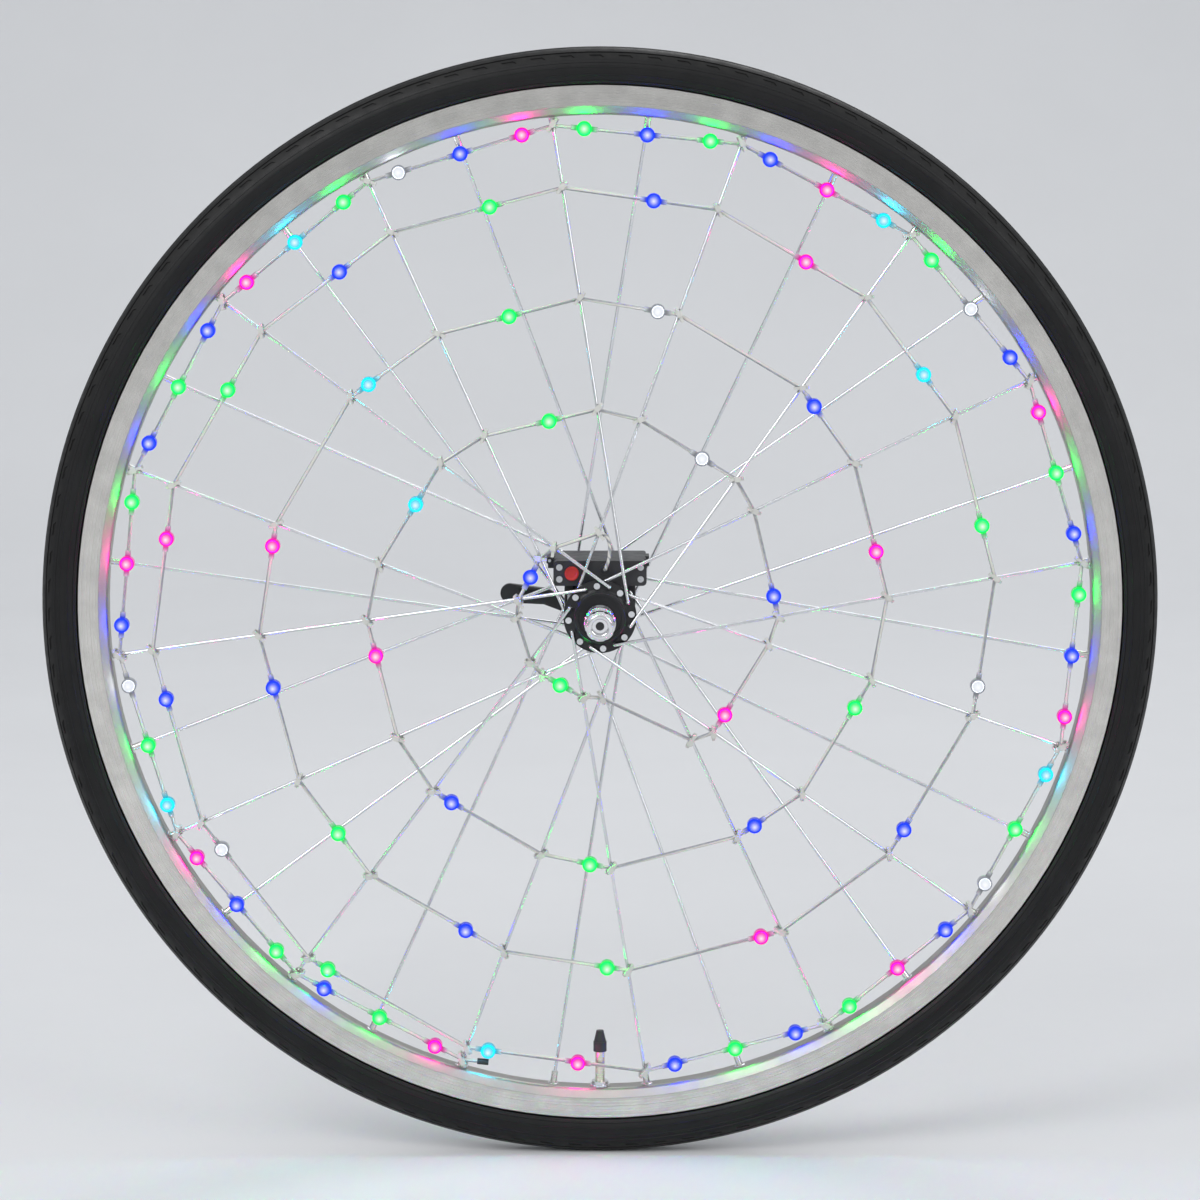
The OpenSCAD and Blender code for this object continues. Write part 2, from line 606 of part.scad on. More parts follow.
lever_bottom = -head_boss_z - 5.6;
lever_stations = [[-4, 0, -12.8, 2.3, 5], [-17, 3.4, -11.4, 3, 4.8], [-0.55 * lever_reach, 4.6, -3, 5, 4.4],
    [-lever_reach + 6, -2.5, 0, 6, 3.4]];
module lever_station(i) {
    p = lever_stations[i];
    translate([p[0], lever_y + p[1] + p[4] / 2, p[2]])
        rotate([90, 0, 0]) cylinder(r = p[3], h = p[4], $fn = 32);
}

module skewer_lever() color([0.12, 0.12, 0.13]) {
    translate([0, lever_y, lever_bottom]) cylinder(r = 6.2, h = 5.4);
    translate([0, lever_y, lever_bottom + 1]) cylinder(r = shaft_r, h = head_boss_z * 2 + 8.4);
    for (i = [0 : 2]) hull() {
        lever_station(i);
        lever_station(i + 1);
    }
}

module lever_nut() color([0.8, 0.8, 0.82]) translate([0, lever_y, head_boss_z + 0.2]) difference() {
    union() {
        cylinder(r = 6.2, h = 1.4);
        translate([0, 0, 1]) cylinder(r = 5.4, h = 3.4, $fn = 6);
        translate([0, 0, 4.2]) cylinder(r1 = 4.4, r2 = 2.4, h = 1.6);
    }
    translate([0, 0, -1]) cylinder(r = shaft_r + press_gap, h = 5);
}

module skewer_springs() color([0.75, 0.75, 0.77]) {
    turns = 2.5;
    coil = [for (i = [0 : 30]) let (f = i / 30) polar(3.6 + 3 * f, 360 * turns * f, 0.5 + 1.6 * (1 - f))];
    translate([0, -clamp_y - spring_pocket_h + 0.3, 0]) cable(coil, 0.35, 6);
    translate([0, clamp_y + 1.6 - 0.3, 0]) mirror([0, 1, 0])
        cable([for (p = coil) [p[0], p[1] * 0.55, p[2]]], 0.25, 6);
}

// Strap that holds the battery pack on the hub barrel, folded over a bar at each end
strap_fold_r = strap_bar_r + 0.1 + strap_t / 2;
function strap_edge(off) = concat(
    arc([0, 0], strap_leg_x + strap_t / 2 + off, -90, 0, 10),
    arc([strap_bar_x, strap_bar_z], strap_fold_r - off, 180, 0, 8),
    [[strap_bar_x + strap_fold_r - off, strap_tail_z]]);
function reversed(list) = [for (i = [len(list) - 1 : -1 : 0]) list[i]];
strap_half = concat(strap_edge(-strap_t / 2), reversed(strap_edge(strap_t / 2)));
strap_far_half = [for (i = [len(strap_half) - 2 : -1 : 1]) [-strap_half[i][0], strap_half[i][1]]];
module hub_strap() color([0.1, 0.1, 0.11])
    prism_y(concat(strap_half, strap_far_half), -strap_w / 2, strap_w / 2);

// Battery pack
module in_pack() translate([0, pack_y, 0]) children();

module battery_case() color([0.1, 0.1, 0.11]) difference() {
    union() {
        prism_y(concat(arc([case_x - 3, floor_z + 3], 3, 270, 360), [[case_x, split_z], [-case_x, split_z]],
            arc([-case_x + 3, floor_z + 3], 3, 180, 270)), cover_y, case_far_y);
        prism_y(rounded(-case_x, case_x, split_z - 5, roof_z, 2.5), cover_y, lid_front_y - lay_gap);
        translate([-10, -cell_room_y, barrel_r - 4]) cube([20, 2 * cell_room_y, 7.5]);
        for (s = [-1, 1]) {
            rod_y(s * strap_bar_x, strap_bar_z, strap_bar_r, -strap_w / 2 - 3, strap_w / 2 + 3);
            for (y = [-strap_w / 2 - 3.4, strap_w / 2 + 0.4])
                translate([s * strap_bar_x - 2, y, strap_bar_z - 2]) cube([4, 3, floor_z - strap_bar_z + 3]);
        }
        for (y = [-cell_room_y + 1, cell_room_y - 9]) {
            rod_y(hinge_x, hinge_z, knuckle_r, y, y + 8);
            translate([hinge_x - 1, y, hinge_z - 4.5]) cube([4, 8, 3.4]);
        }
    }
    rod_y(0, 0, barrel_r + lay_gap, -locknut_y, locknut_y);
    rod_y(hinge_x, hinge_z, pin_r + press_gap, -cell_room_y - 2, cell_room_y + 2);
    translate([-cell_room_x, -cell_room_y, floor_z + case_wall]) cube([2 * cell_room_x, 2 * cell_room_y, 30]);
    difference() {
        translate([-cell_room_x, cover_y - 1, floor_z + case_wall])
            cube([2 * cell_room_x, divider_y - cover_y + 1, roof_z - floor_z - 2 * case_wall]);
        for (s = [-1, 1], z = [screw_z_low, screw_z_high]) rod_y(s * screw_x, z, 2.4, cover_y, divider_y + 1);
    }
    for (s = [-1, 1], z = [screw_z_low, screw_z_high])
        rod_y(s * screw_x, z, screw_r + press_gap, cover_y - 1, divider_y - 0.4);
}

module seal_ring(grow, h) difference() {
    translate([-case_x + 0.5 - grow, -cell_room_y - 0.65 - grow, split_z + lid_gap])
        cube([2 * (case_x - 0.5 + grow), 2 * cell_room_y + 0.65 + case_wall - 0.5 + 2 * grow, h]);
    translate([-cell_room_x - 0.4 + grow, -cell_room_y - 0.2 + grow, split_z - 1])
        cube([2 * (cell_room_x + 0.4 - grow), 2 * cell_room_y + 0.6 - 2 * grow, 4]);
}
module lid_seal() color([0.75, 0.3, 0.1]) seal_ring(0, seal_t);

module battery_lid() color([0.13, 0.13, 0.14]) difference() {
    union() {
        prism_y(concat([[case_x, split_z + lid_gap]], arc([case_x - 1.5, roof_z - 1.5], 1.5, 0, 90),
            arc([-case_x + 1.5, roof_z - 1.5], 1.5, 90, 180), [[-case_x, split_z + lid_gap]]),
            lid_front_y, case_far_y);
        difference() {
            translate([-cell_room_x + 0.3, -cell_room_y + 0.3, split_z - lid_lip_h])
                cube([2 * cell_room_x - 0.6, 2 * cell_room_y - 0.6, lid_lip_h + 0.5]);
            translate([-cell_room_x + 0.3 + lid_lip_t, -cell_room_y + 0.3 + lid_lip_t, split_z - 3])
                cube([2 * (cell_room_x - 0.3 - lid_lip_t), 2 * (cell_room_y - 0.3 - lid_lip_t), 3.05]);
        }
        translate([case_x - 1.5, -6, split_z + lid_gap]) cube([3.2, 12, 1.9]);
        translate([case_x + lay_gap, -6, split_z - 4]) cube([1.5, 12, 5]);
        rod_y(hinge_x, hinge_z, knuckle_r, -6.5, 6.5);
        translate([hinge_x, -6.5, split_z + lid_gap]) cube([4.5, 13, 1.9]);
    }
    rod_y(hinge_x, hinge_z, pin_r + run_fit, -cell_room_y, cell_room_y);
    translate([0, 0, -0.5]) seal_ring(press_gap, seal_t + 0.5 + press_gap);
    for (y = [-4 : 2 : 4]) translate([case_x + 1.3 + lay_gap, y - 0.4, split_z - 5]) cube([2, 0.8, 8]);
}

module hinge_pin() color([0.8, 0.8, 0.82])
    rod_y(hinge_x, hinge_z, pin_r, -cell_room_y + 0.5, cell_room_y - 0.5);

module switch_cover() color([0.1, 0.1, 0.11]) difference() {
    prism_y(rounded(-case_x, case_x, floor_z, roof_z, 2.5), front_y, cover_y - press_gap);
    rod_y(button_x, mid_z, button_d / 2 + run_fit, front_y - 1, cover_y + 1);
    rod_y(gland_x, gland_z, 2.5, front_y - 1, cover_y + 1);
    for (s = [-1, 1], z = [screw_z_low, screw_z_high]) {
        rod_y(s * screw_x, z, screw_r + lay_gap, front_y - 1, cover_y + 1);
        rod_y(s * screw_x, z, 2.1, front_y - 1, front_y + 0.9);
    }
}

module cover_screws() color([0.8, 0.8, 0.82])
    for (s = [-1, 1], z = [screw_z_low, screw_z_high]) difference() {
        union() {
            rod_y(s * screw_x, z, 1.9, front_y - 0.3, front_y + 0.9 - press_gap);
            rod_y(s * screw_x, z, screw_r, front_y, divider_y - 0.8);
        }
        translate([s * screw_x - 1.3, front_y - 1, z - 0.25]) cube([2.6, 1.2, 0.5]);
        translate([s * screw_x - 0.25, front_y - 1, z - 1.3]) cube([0.5, 1.2, 2.6]);
    }

switch_front_y = board_front_y - switch_h;
module push_button() color([0.8, 0.15, 0.1]) {
    rod_y(button_x, mid_z, button_d / 2, front_y - button_stroke - 0.4, cover_y + 0.6);
    rod_y(button_x, mid_z, button_d / 2 + 0.9, cover_y + 0.06, cover_y + 0.9);
    rod_y(button_x, mid_z, 1.6, cover_y + 0.5, switch_front_y + 0.9);
}

module switch_body() color([0.2, 0.2, 0.22]) difference() {
    translate([button_x - 3, switch_front_y, mid_z - 3]) cube([6, switch_h - 0.02, 6]);
    rod_y(button_x, mid_z, 1.6 + run_fit, switch_front_y - 1, switch_front_y + button_stroke + 1.4);
}

module control_board() color([0.05, 0.35, 0.15]) {
    translate([-screw_x + 3, board_front_y, floor_z + case_wall + 0.6])
        cube([2 * screw_x - 6, board_t, roof_z - floor_z - 2 * case_wall - 1.2]);
    translate([8, board_front_y - 1.6, mid_z - 2.5]) cube([8, 1.8, 4.6]);
    translate([-6, board_front_y - 1, mid_z - 4]) cube([3, 1.2, 1.6]);
}

module batteries() color([0.85, 0.55, 0.1]) for (i = [-1 : 1]) translate([0, i * cell_pitch, cell_z])
    rotate([0, i == 0 ? -90 : 90, 0]) translate([0, 0, -cell_len / 2 + 1.2]) {
        cylinder(d = cell_d, h = cell_len - 0.8);
        cylinder(r = 1.9, h = cell_len);
    }

module contact_plates() color([0.8, 0.78, 0.7]) for (i = [-1 : 1], s = [-1, 1])
    translate([s * (cell_room_x - 0.35) - 0.25, i * cell_pitch - 4, cell_z - 4]) cube([0.5, 8, 8]);

module contact_springs() color([0.8, 0.8, 0.82]) for (i = [-1 : 1]) {
    s = i == 0 ? -1 : 1;
    coil = [for (j = [0 : 26]) let (f = j / 26)
        [s * (-cell_room_x + 0.95 + (cell_room_x - cell_len / 2 + 1.2 - 1.4) * f),
            i * cell_pitch + (3.2 - 1.2 * f) * cos(1080 * f), cell_z + (3.2 - 1.2 * f) * sin(1080 * f)]];
    cable(coil, 0.3, 6);
}

module cable_gland() color([0.12, 0.12, 0.12]) difference() {
    union() {
        rod_y(gland_x, gland_z, 2.45, front_y - 0.5, cover_y + 0.5);
        rod_y(gland_x, gland_z, 3.4, front_y - 1.1, front_y - press_gap);
        rod_y(gland_x, gland_z, 3.1, cover_y + 0.05, cover_y + 0.9);
        translate([gland_x, front_y - 1, gland_z]) rotate([90, 0, 0]) cylinder(r1 = 2.6, r2 = 1.9, h = 1.6);
    }
    rod_y(gland_x, gland_z, cable_r + press_gap, front_y - 5, cover_y + 3);
}

// Light string
module light_string() color([0.9, 0.9, 0.92]) cable(route, cable_r, 8);

module string_end() color([0.1, 0.1, 0.1]) multmatrix(along(tail_dir, route[route_n - 1])) difference() {
    translate([0, 0, -5]) cylinder(r = cable_r + 0.8, h = 7);
    translate([0, 0, -6]) cylinder(r = cable_r + press_gap, h = 6.2);
}

// Cable ties, drawn round the crossing of a spoke and the cable
module tie_ring(w, n0, n1, r) polygon(rounded(-w, w, n0, n1, r, 1));
function tie_reach(r, p, c) = let (slant = acos(abs(p * c))) r / sin(slant) + tie_w / 2 / tan(slant);
module cable_tie(k) {
    s = spoke_dir(support_hole(k));
    c_in = cable_dir(route, first_support + k - 1);
    c_out = cable_dir(route, first_support + k);
    c = unit(c_in + c_out);
    n = unit(cross(s, c) * (cross(s, c)[1] > 0 ? -1 : 1));
    p = c * s > 0 ? unit(c - s) : -unit(c + s);
    w = max(tie_reach(held_r(k), p, s), tie_reach(cable_r, p, c_in),
        tie_reach(cable_r, p, c_out)) + tie_slack;
    n0 = -held_r(k) - tie_slack;
    n1 = held_r(k) + lay_gap + cable_d + tie_slack + tie_w * max(abs(n * c_in), abs(n * c_out));
    multmatrix(placed(p, n, support(k))) {
        translate([0, tie_w / 2, 0]) rotate([90, 0, 0]) linear_extrude(tie_w) difference() {
            tie_ring(w + tie_t, n0 - tie_t, n1 + tie_t, 1.6);
            tie_ring(w, n0, n1, 0.9);
        }
        translate([-1.8, -tie_w / 2 - 0.6, n1 + tie_t / 2]) cube([3.6, tie_w + 1.2, 2.4]);
        translate([1.4, -tie_w / 2 + 0.1, n1 + tie_t + 0.6]) cube([tie_tail, tie_w - 0.2, tie_t]);
    }
}
module cable_ties() color([0.72, 0.72, 0.69]) for (k = [0 : support_count - 1]) cable_tie(k);

// Lights, each a round housing on the cable with a chip under a domed lens
module led_housing() difference() {
    union() {
        translate([0, 0, -cable_r - led_back]) cylinder(d = led_d, h = led_back + cable_d + led_front);
        translate([-led_len / 2, 0, 0]) rotate([0, 90, 0]) cylinder(r = cable_r + sleeve_t, h = led_len);
    }
    translate([-led_len, 0, 0]) rotate([0, 90, 0]) cylinder(r = cable_r + press_gap, h = 2 * led_len);
    translate([0, 0, cable_r + 0.8]) cylinder(r = lens_r + press_gap, h = 5);
}
module led_housings() color([0.78, 0.79, 0.8])
    for (i = [0 : led_count - 1]) multmatrix(led_at(i)) led_housing();

module led_boards() color([0.9, 0.88, 0.7]) for (i = [0 : led_count - 1]) multmatrix(led_at(i)) {
    translate([0, 0, cable_r + 0.85]) cylinder(r = lens_r - 0.2, h = 0.5);
    translate([-1.4, -1.4, cable_r + 1.2]) cube([2.8, 2.8, 1]);
}

module lens() difference() {
    union() {
        translate([0, 0, cable_r + 1.4]) cylinder(r = lens_r, h = 1.6);
        translate([0, 0, cable_r + 2.6]) intersection() {
            sphere(r = lens_r - 0.15, $fn = 32);
            translate([0, 0, lens_d]) cube(2 * lens_d, center = true);
        }
    }
    translate([0, 0, cable_r]) cylinder(r = 2.3, h = 2.9);
}
module lenses(c) for (i = [0 : led_count - 1]) if (led_colour(i) == c) multmatrix(led_at(i)) lens();
module lenses_magenta() color([1, 0.1, 0.75]) lenses(0);
module lenses_blue() color([0.1, 0.25, 1]) lenses(1);
module lenses_cyan() color([0.1, 0.9, 1]) lenses(2);
module lenses_green() color([0.2, 1, 0.25]) lenses(3);
module lenses_white() color([1, 1, 1]) lenses(4);

// Least distance between stretches of the cable that are not neighbours
samples = [for (i = [0 : route_n - 2], f = [0, 0.25, 0.5, 0.75]) route[i] + f * (route[i + 1] - route[i])];
near_gap = min([for (i = [0 : len(samples) - 1], j = [i + 16 : 1 : len(samples) - 1])
    norm(samples[i] - samples[j])]) - cable_d;
echo("cable length mm", cable_len, "least gap mm", near_gap, "lights", led_count, "supports", support_count);

tyre();
inner_tube();
rim();
rim_tape();
valve_stem();
valve_nut();
valve_cap();
nipples();
spokes_nut_outer();
spokes_nut_inner();
spokes_lever_outer();
spokes_lever_inner();
hub_shell();
bearing_cups();
dust_caps();
balls_nut_side();
cage_nut_side();
balls_lever_side();
cage_lever_side();
axle();
cones();
axle_washers();
locknuts();
skewer_rod();
skewer_nut();
skewer_head();
skewer_lever();
lever_nut();
skewer_springs();
in_pack() hub_strap();
in_pack() battery_case();
in_pack() battery_lid();
in_pack() hinge_pin();
in_pack() lid_seal();
in_pack() switch_cover();
in_pack() cover_screws();
in_pack() push_button();
in_pack() switch_body();
in_pack() control_board();
in_pack() batteries();
in_pack() contact_springs();
in_pack() contact_plates();
in_pack() cable_gland();
light_string();
string_end();
cable_ties();
led_housings();
led_boards();
lenses_magenta();
lenses_blue();
lenses_cyan();
lenses_green();
lenses_white();
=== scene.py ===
"""Looks of a spoked bicycle wheel that carries a spiral string of coloured lights."""
import json
import math

import bmesh
import bpy
from mathutils import Matrix, Vector


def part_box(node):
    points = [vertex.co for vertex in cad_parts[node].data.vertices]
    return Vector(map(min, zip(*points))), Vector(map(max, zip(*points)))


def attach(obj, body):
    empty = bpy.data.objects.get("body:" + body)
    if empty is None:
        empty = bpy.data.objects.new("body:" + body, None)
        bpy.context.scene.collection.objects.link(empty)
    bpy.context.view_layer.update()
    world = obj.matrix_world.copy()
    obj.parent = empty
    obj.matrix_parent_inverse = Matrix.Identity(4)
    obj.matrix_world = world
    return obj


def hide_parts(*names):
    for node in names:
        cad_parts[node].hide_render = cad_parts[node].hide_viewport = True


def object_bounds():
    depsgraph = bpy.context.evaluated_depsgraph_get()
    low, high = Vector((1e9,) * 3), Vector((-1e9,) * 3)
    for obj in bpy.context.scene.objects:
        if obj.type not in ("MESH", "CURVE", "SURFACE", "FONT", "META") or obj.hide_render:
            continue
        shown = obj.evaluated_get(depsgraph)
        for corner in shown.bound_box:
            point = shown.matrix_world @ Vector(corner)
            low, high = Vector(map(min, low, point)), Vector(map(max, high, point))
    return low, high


bl_info = {
    "name": "Spoke wheel light",
    "version": (1, 0, 0),
    "blender": (4, 5, 0),
    "location": "View3D > Sidebar > Wheel light",
    "description": "Dresses a spoked wheel and its string of lights",
    "category": "Object",
}

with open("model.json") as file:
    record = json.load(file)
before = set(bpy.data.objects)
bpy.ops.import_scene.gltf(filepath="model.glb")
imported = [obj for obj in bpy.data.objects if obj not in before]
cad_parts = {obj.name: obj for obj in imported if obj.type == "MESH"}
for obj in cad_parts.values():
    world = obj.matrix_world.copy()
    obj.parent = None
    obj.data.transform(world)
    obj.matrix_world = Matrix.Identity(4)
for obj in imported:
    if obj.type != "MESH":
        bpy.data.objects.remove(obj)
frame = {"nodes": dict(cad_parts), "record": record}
CAD_BOX = [list(corner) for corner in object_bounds()]
MM = 0.001
UM = 0.000001
FULL_TURN = 2.0 * math.pi
MERGE_DIST = 1 * UM
CENTRE = (0.0, 0.0, 0.0)
AXLE = (0.0, 1.0, 0.0)


# Settings that a user would change

def colour_setting(name, description, red, green, blue):
    return bpy.props.FloatVectorProperty(
        name=name, description=description, subtype="COLOR", size=4, min=0.0, max=1.0,
        default=(red, green, blue, 1.0))


def length_setting(name, description, default):
    return bpy.props.FloatProperty(name=name, description=description, unit="LENGTH", default=default)


class WheelLightColours(bpy.types.PropertyGroup):
    """Colours of the wheel, the pack, the lights and the stage"""
    rubber: colour_setting("Rubber", "Tyre rubber", 0.006, 0.006, 0.0064)
    alloy: colour_setting("Rim alloy", "Anodised rim", 0.72, 0.70, 0.665)
    stainless: colour_setting("Spoke steel", "Drawn stainless steel of the spokes", 0.74, 0.75, 0.77)
    anodised: colour_setting("Black alloy", "Black finish of the hub and lever", 0.018, 0.018, 0.020)
    moulding: colour_setting("Moulded plastic", "Battery pack and valve cap", 0.022, 0.022, 0.025)
    magenta: colour_setting("Magenta lights", "Colour of the magenta lights", 1.0, 0.004, 0.50)
    blue: colour_setting("Blue lights", "Colour of the blue lights", 0.012, 0.060, 1.0)
    cyan: colour_setting("Cyan lights", "Colour of the cyan lights", 0.010, 0.72, 0.95)
    green: colour_setting("Green lights", "Colour of the green lights", 0.004, 1.0, 0.16)
    white: colour_setting("White lights", "Colour of the white lights", 0.80, 0.84, 0.92)
    floor: colour_setting("Floor", "Floor and backdrop", 0.70, 0.705, 0.72)


class WheelLightSizes(bpy.types.PropertyGroup):
    """Sizes of the pieces that are made here, the strength of the lights and the camera's place"""
    cable_d: length_setting("Cable", "Diameter of the light string's cable", 2.2 * MM)
    cable_bend: length_setting("Cable bend", "Length over which the cable bends at a tie", 2.5 * MM)
    strap_w: length_setting("Strap width", "Width of the strap round the hub", 16 * MM)
    strap_t: length_setting("Strap thickness", "Thickness of the strap", 1.5 * MM)
    lens_d: length_setting("Lens", "Diameter of a light's lens", 7.2 * MM)
    led_d: length_setting("Light housing", "Diameter of a light's housing", 9 * MM)
    led_len: length_setting("Light length", "Length of a light's housing along the cable", 16 * MM)
    glow: bpy.props.FloatProperty(
        name="Light strength", description="Light that a lens throws on its neighbours",
        default=60.0, min=0.0)
    camera_far: length_setting("Camera distance", "Distance of the camera from the wheel", 2.6)
    camera_lift: bpy.props.FloatProperty(
        name="Camera height angle", description="Angle of the camera above the axle", unit="ROTATION",
        default=math.radians(8.5))
    lens_mm: bpy.props.FloatProperty(
        name="Focal length", description="Focal length of the camera", default=128.3, min=10.0)


def colours():
    return bpy.context.scene.wheel_light_colours


def sizes():
    return bpy.context.scene.wheel_light_sizes


# Shader nodes

VECTOR = "NodeSocketVector"
COLOUR = "NodeSocketColor"
VALUE = "NodeSocketFloat"
BLACK = (0.0, 0.0, 0.0, 1.0)
MIX_FACTOR, MIX_FIRST, MIX_SECOND, MIX_RESULT = 0, 6, 7, 2


def put(tree, socket, value):
    """Link another node's output to a socket, or set the socket to a constant."""
    if isinstance(value, bpy.types.NodeSocket):
        tree.links.new(value, socket)
    else:
        socket.default_value = value


def math_node(tree, operation, *values):
    node = tree.nodes.new("ShaderNodeMath")
    node.operation = operation
    for socket, value in zip(node.inputs, values):
        put(tree, socket, value)
    return node.outputs[0]


def times(tree, first, second):
    return math_node(tree, "MULTIPLY", first, second)


def plus(tree, first, second):
    return math_node(tree, "ADD", first, second)


def noise_node(tree, place, scale, detail=3.0, rough=0.55, lines=False):
    """Noise over a vector, or along one coordinate where it makes lines."""
    node = tree.nodes.new("ShaderNodeTexNoise")
    node.noise_dimensions = "1D" if lines else "3D"
    put(tree, node.inputs["W" if lines else "Vector"], place)
    put(tree, node.inputs["Scale"], scale)
    put(tree, node.inputs["Detail"], detail)
    put(tree, node.inputs["Roughness"], rough)
    return node.outputs["Fac"]


def range_node(tree, value, low, high, to_low=0.0, to_high=1.0):
    node = tree.nodes.new("ShaderNodeMapRange")
    node.clamp = True
    put(tree, node.inputs["Value"], value)
    put(tree, node.inputs["From Min"], low)
    put(tree, node.inputs["From Max"], high)
    put(tree, node.inputs["To Min"], to_low)
    put(tree, node.inputs["To Max"], to_high)
    return node.outputs["Result"]


def mix_node(tree, factor, first, second):
    node = tree.nodes.new("ShaderNodeMix")
    node.data_type = "RGBA"
    put(tree, node.inputs[MIX_FACTOR], factor)
    put(tree, node.inputs[MIX_FIRST], first)
    put(tree, node.inputs[MIX_SECOND], second)
    return node.outputs[MIX_RESULT]


def split_node(tree, vector):
    node = tree.nodes.new("ShaderNodeSeparateXYZ")
    put(tree, node.inputs[0], vector)
    return node.outputs


# Shader groups

def group_tree(name, inputs, outputs):
    """An empty group, with (name, kind, default) for each input and (name, kind) for each output."""
    tree = bpy.data.node_groups.new(name, "ShaderNodeTree")
    for label, kind, value in inputs:
        socket = tree.interface.new_socket(label, in_out="INPUT", socket_type=kind)
        if value is not None:
            socket.default_value = value
    for label, kind in outputs:
        tree.interface.new_socket(label, in_out="OUTPUT", socket_type=kind)
    return tree, tree.nodes.new("NodeGroupInput").outputs, tree.nodes.new("NodeGroupOutput").inputs


def mottle_group():
    """Slow change between two tones, as a worn or dusty surface shows."""
    tree, given, out = group_tree(
        "Mottle",
        [("Vector", VECTOR, None), ("Tone A", COLOUR, None), ("Tone B", COLOUR, None),
         ("Scale", VALUE, 40.0)],
        [("Color", COLOUR)])
    patches = noise_node(tree, given["Vector"], given["Scale"], detail=5.0, rough=0.6)
    mask = range_node(tree, patches, 0.35, 0.68)
    put(tree, out["Color"], mix_node(tree, mask, given["Tone A"], given["Tone B"]))


def grain_group():
    """Fine grain: a height for the bump and a roughness that goes with it."""
    wide_share = 0.55
    wide_scale = 0.06
    tree, given, out = group_tree(
        "Grain",
        [("Vector", VECTOR, None), ("Scale", VALUE, 1500.0), ("Rough Low", VALUE, 0.4),
         ("Rough High", VALUE, 0.6)],
        [("Height", VALUE), ("Roughness", VALUE)])
    fine = noise_node(tree, given["Vector"], given["Scale"], detail=2.0, rough=0.6)
    wide = noise_node(tree, given["Vector"], times(tree, given["Scale"], wide_scale), detail=4.0)
    both = plus(tree, times(tree, fine, 1.0 - wide_share), times(tree, wide, wide_share))
    put(tree, out["Height"], fine)
    put(tree, out["Roughness"], range_node(tree, both, 0.38, 0.62, given["Rough Low"], given["Rough High"]))


def lines_group():
    """Fine lines across one coordinate, as a lathe tool or a die leaves them."""
    wide_scale = 0.11
    tree, given, out = group_tree(
        "Tool Lines",
        [("Across", VALUE, 0.0), ("Lines per Metre", VALUE, 3000.0)],
        [("Height", VALUE), ("Shade", VALUE)])
    place = times(tree, given["Across"], given["Lines per Metre"])
    fine = noise_node(tree, place, 1.0, detail=2.0, rough=0.7, lines=True)
    wide = noise_node(tree, place, wide_scale, detail=3.0, rough=0.6, lines=True)
    put(tree, out["Height"], fine)
    put(tree, out["Shade"], range_node(tree, plus(tree, fine, wide), 0.7, 1.3))


def polar_group():
    """Place on the wheel: distance from the axle, side of it, and a vector that runs along the spokes."""
    stretch = 0.03
    tree, given, out = group_tree(
        "Wheel Place",
        [("Vector", VECTOR, None)],
        [("Radius", VALUE), ("Side", VALUE), ("Drawn", VECTOR)])
    x, y, z = split_node(tree, given["Vector"])
    radius = math_node(tree, "SQRT", plus(tree, times(tree, x, x), times(tree, z, z)))
    angle = math_node(tree, "ARCTAN2", z, x)
    drawn = tree.nodes.new("ShaderNodeCombineXYZ")
    put(tree, drawn.inputs[0], times(tree, angle, radius))
    put(tree, drawn.inputs[1], y)
    put(tree, drawn.inputs[2], times(tree, radius, stretch))
    put(tree, out["Radius"], radius)
    put(tree, out["Side"], y)
    put(tree, out["Drawn"], drawn.outputs[0])


def band_group():
    """One inside a band of a coordinate, falling to nothing over its feathered edges."""
    tree, given, out = group_tree(
        "Band",
        [("Across", VALUE, 0.0), ("From", VALUE, 0.0), ("To", VALUE, 1.0), ("Feather", VALUE, 0.001)],
        [("Mask", VALUE)])
    risen = plus(tree, given["From"], given["Feather"])
    falling = math_node(tree, "SUBTRACT", given["To"], given["Feather"])
    rise = range_node(tree, given["Across"], given["From"], risen)
    fall = range_node(tree, given["Across"], falling, given["To"], 1.0, 0.0)
    put(tree, out["Mask"], times(tree, rise, fall))


# Materials

LIGHTS = ("magenta", "blue", "cyan", "green", "white")
# Share of its colour that a light throws, and that its housing shows round the lens as painted glow and tint,
# where it isn't all of it
SHARES = {"white": 0.35}
FINISHES = {}


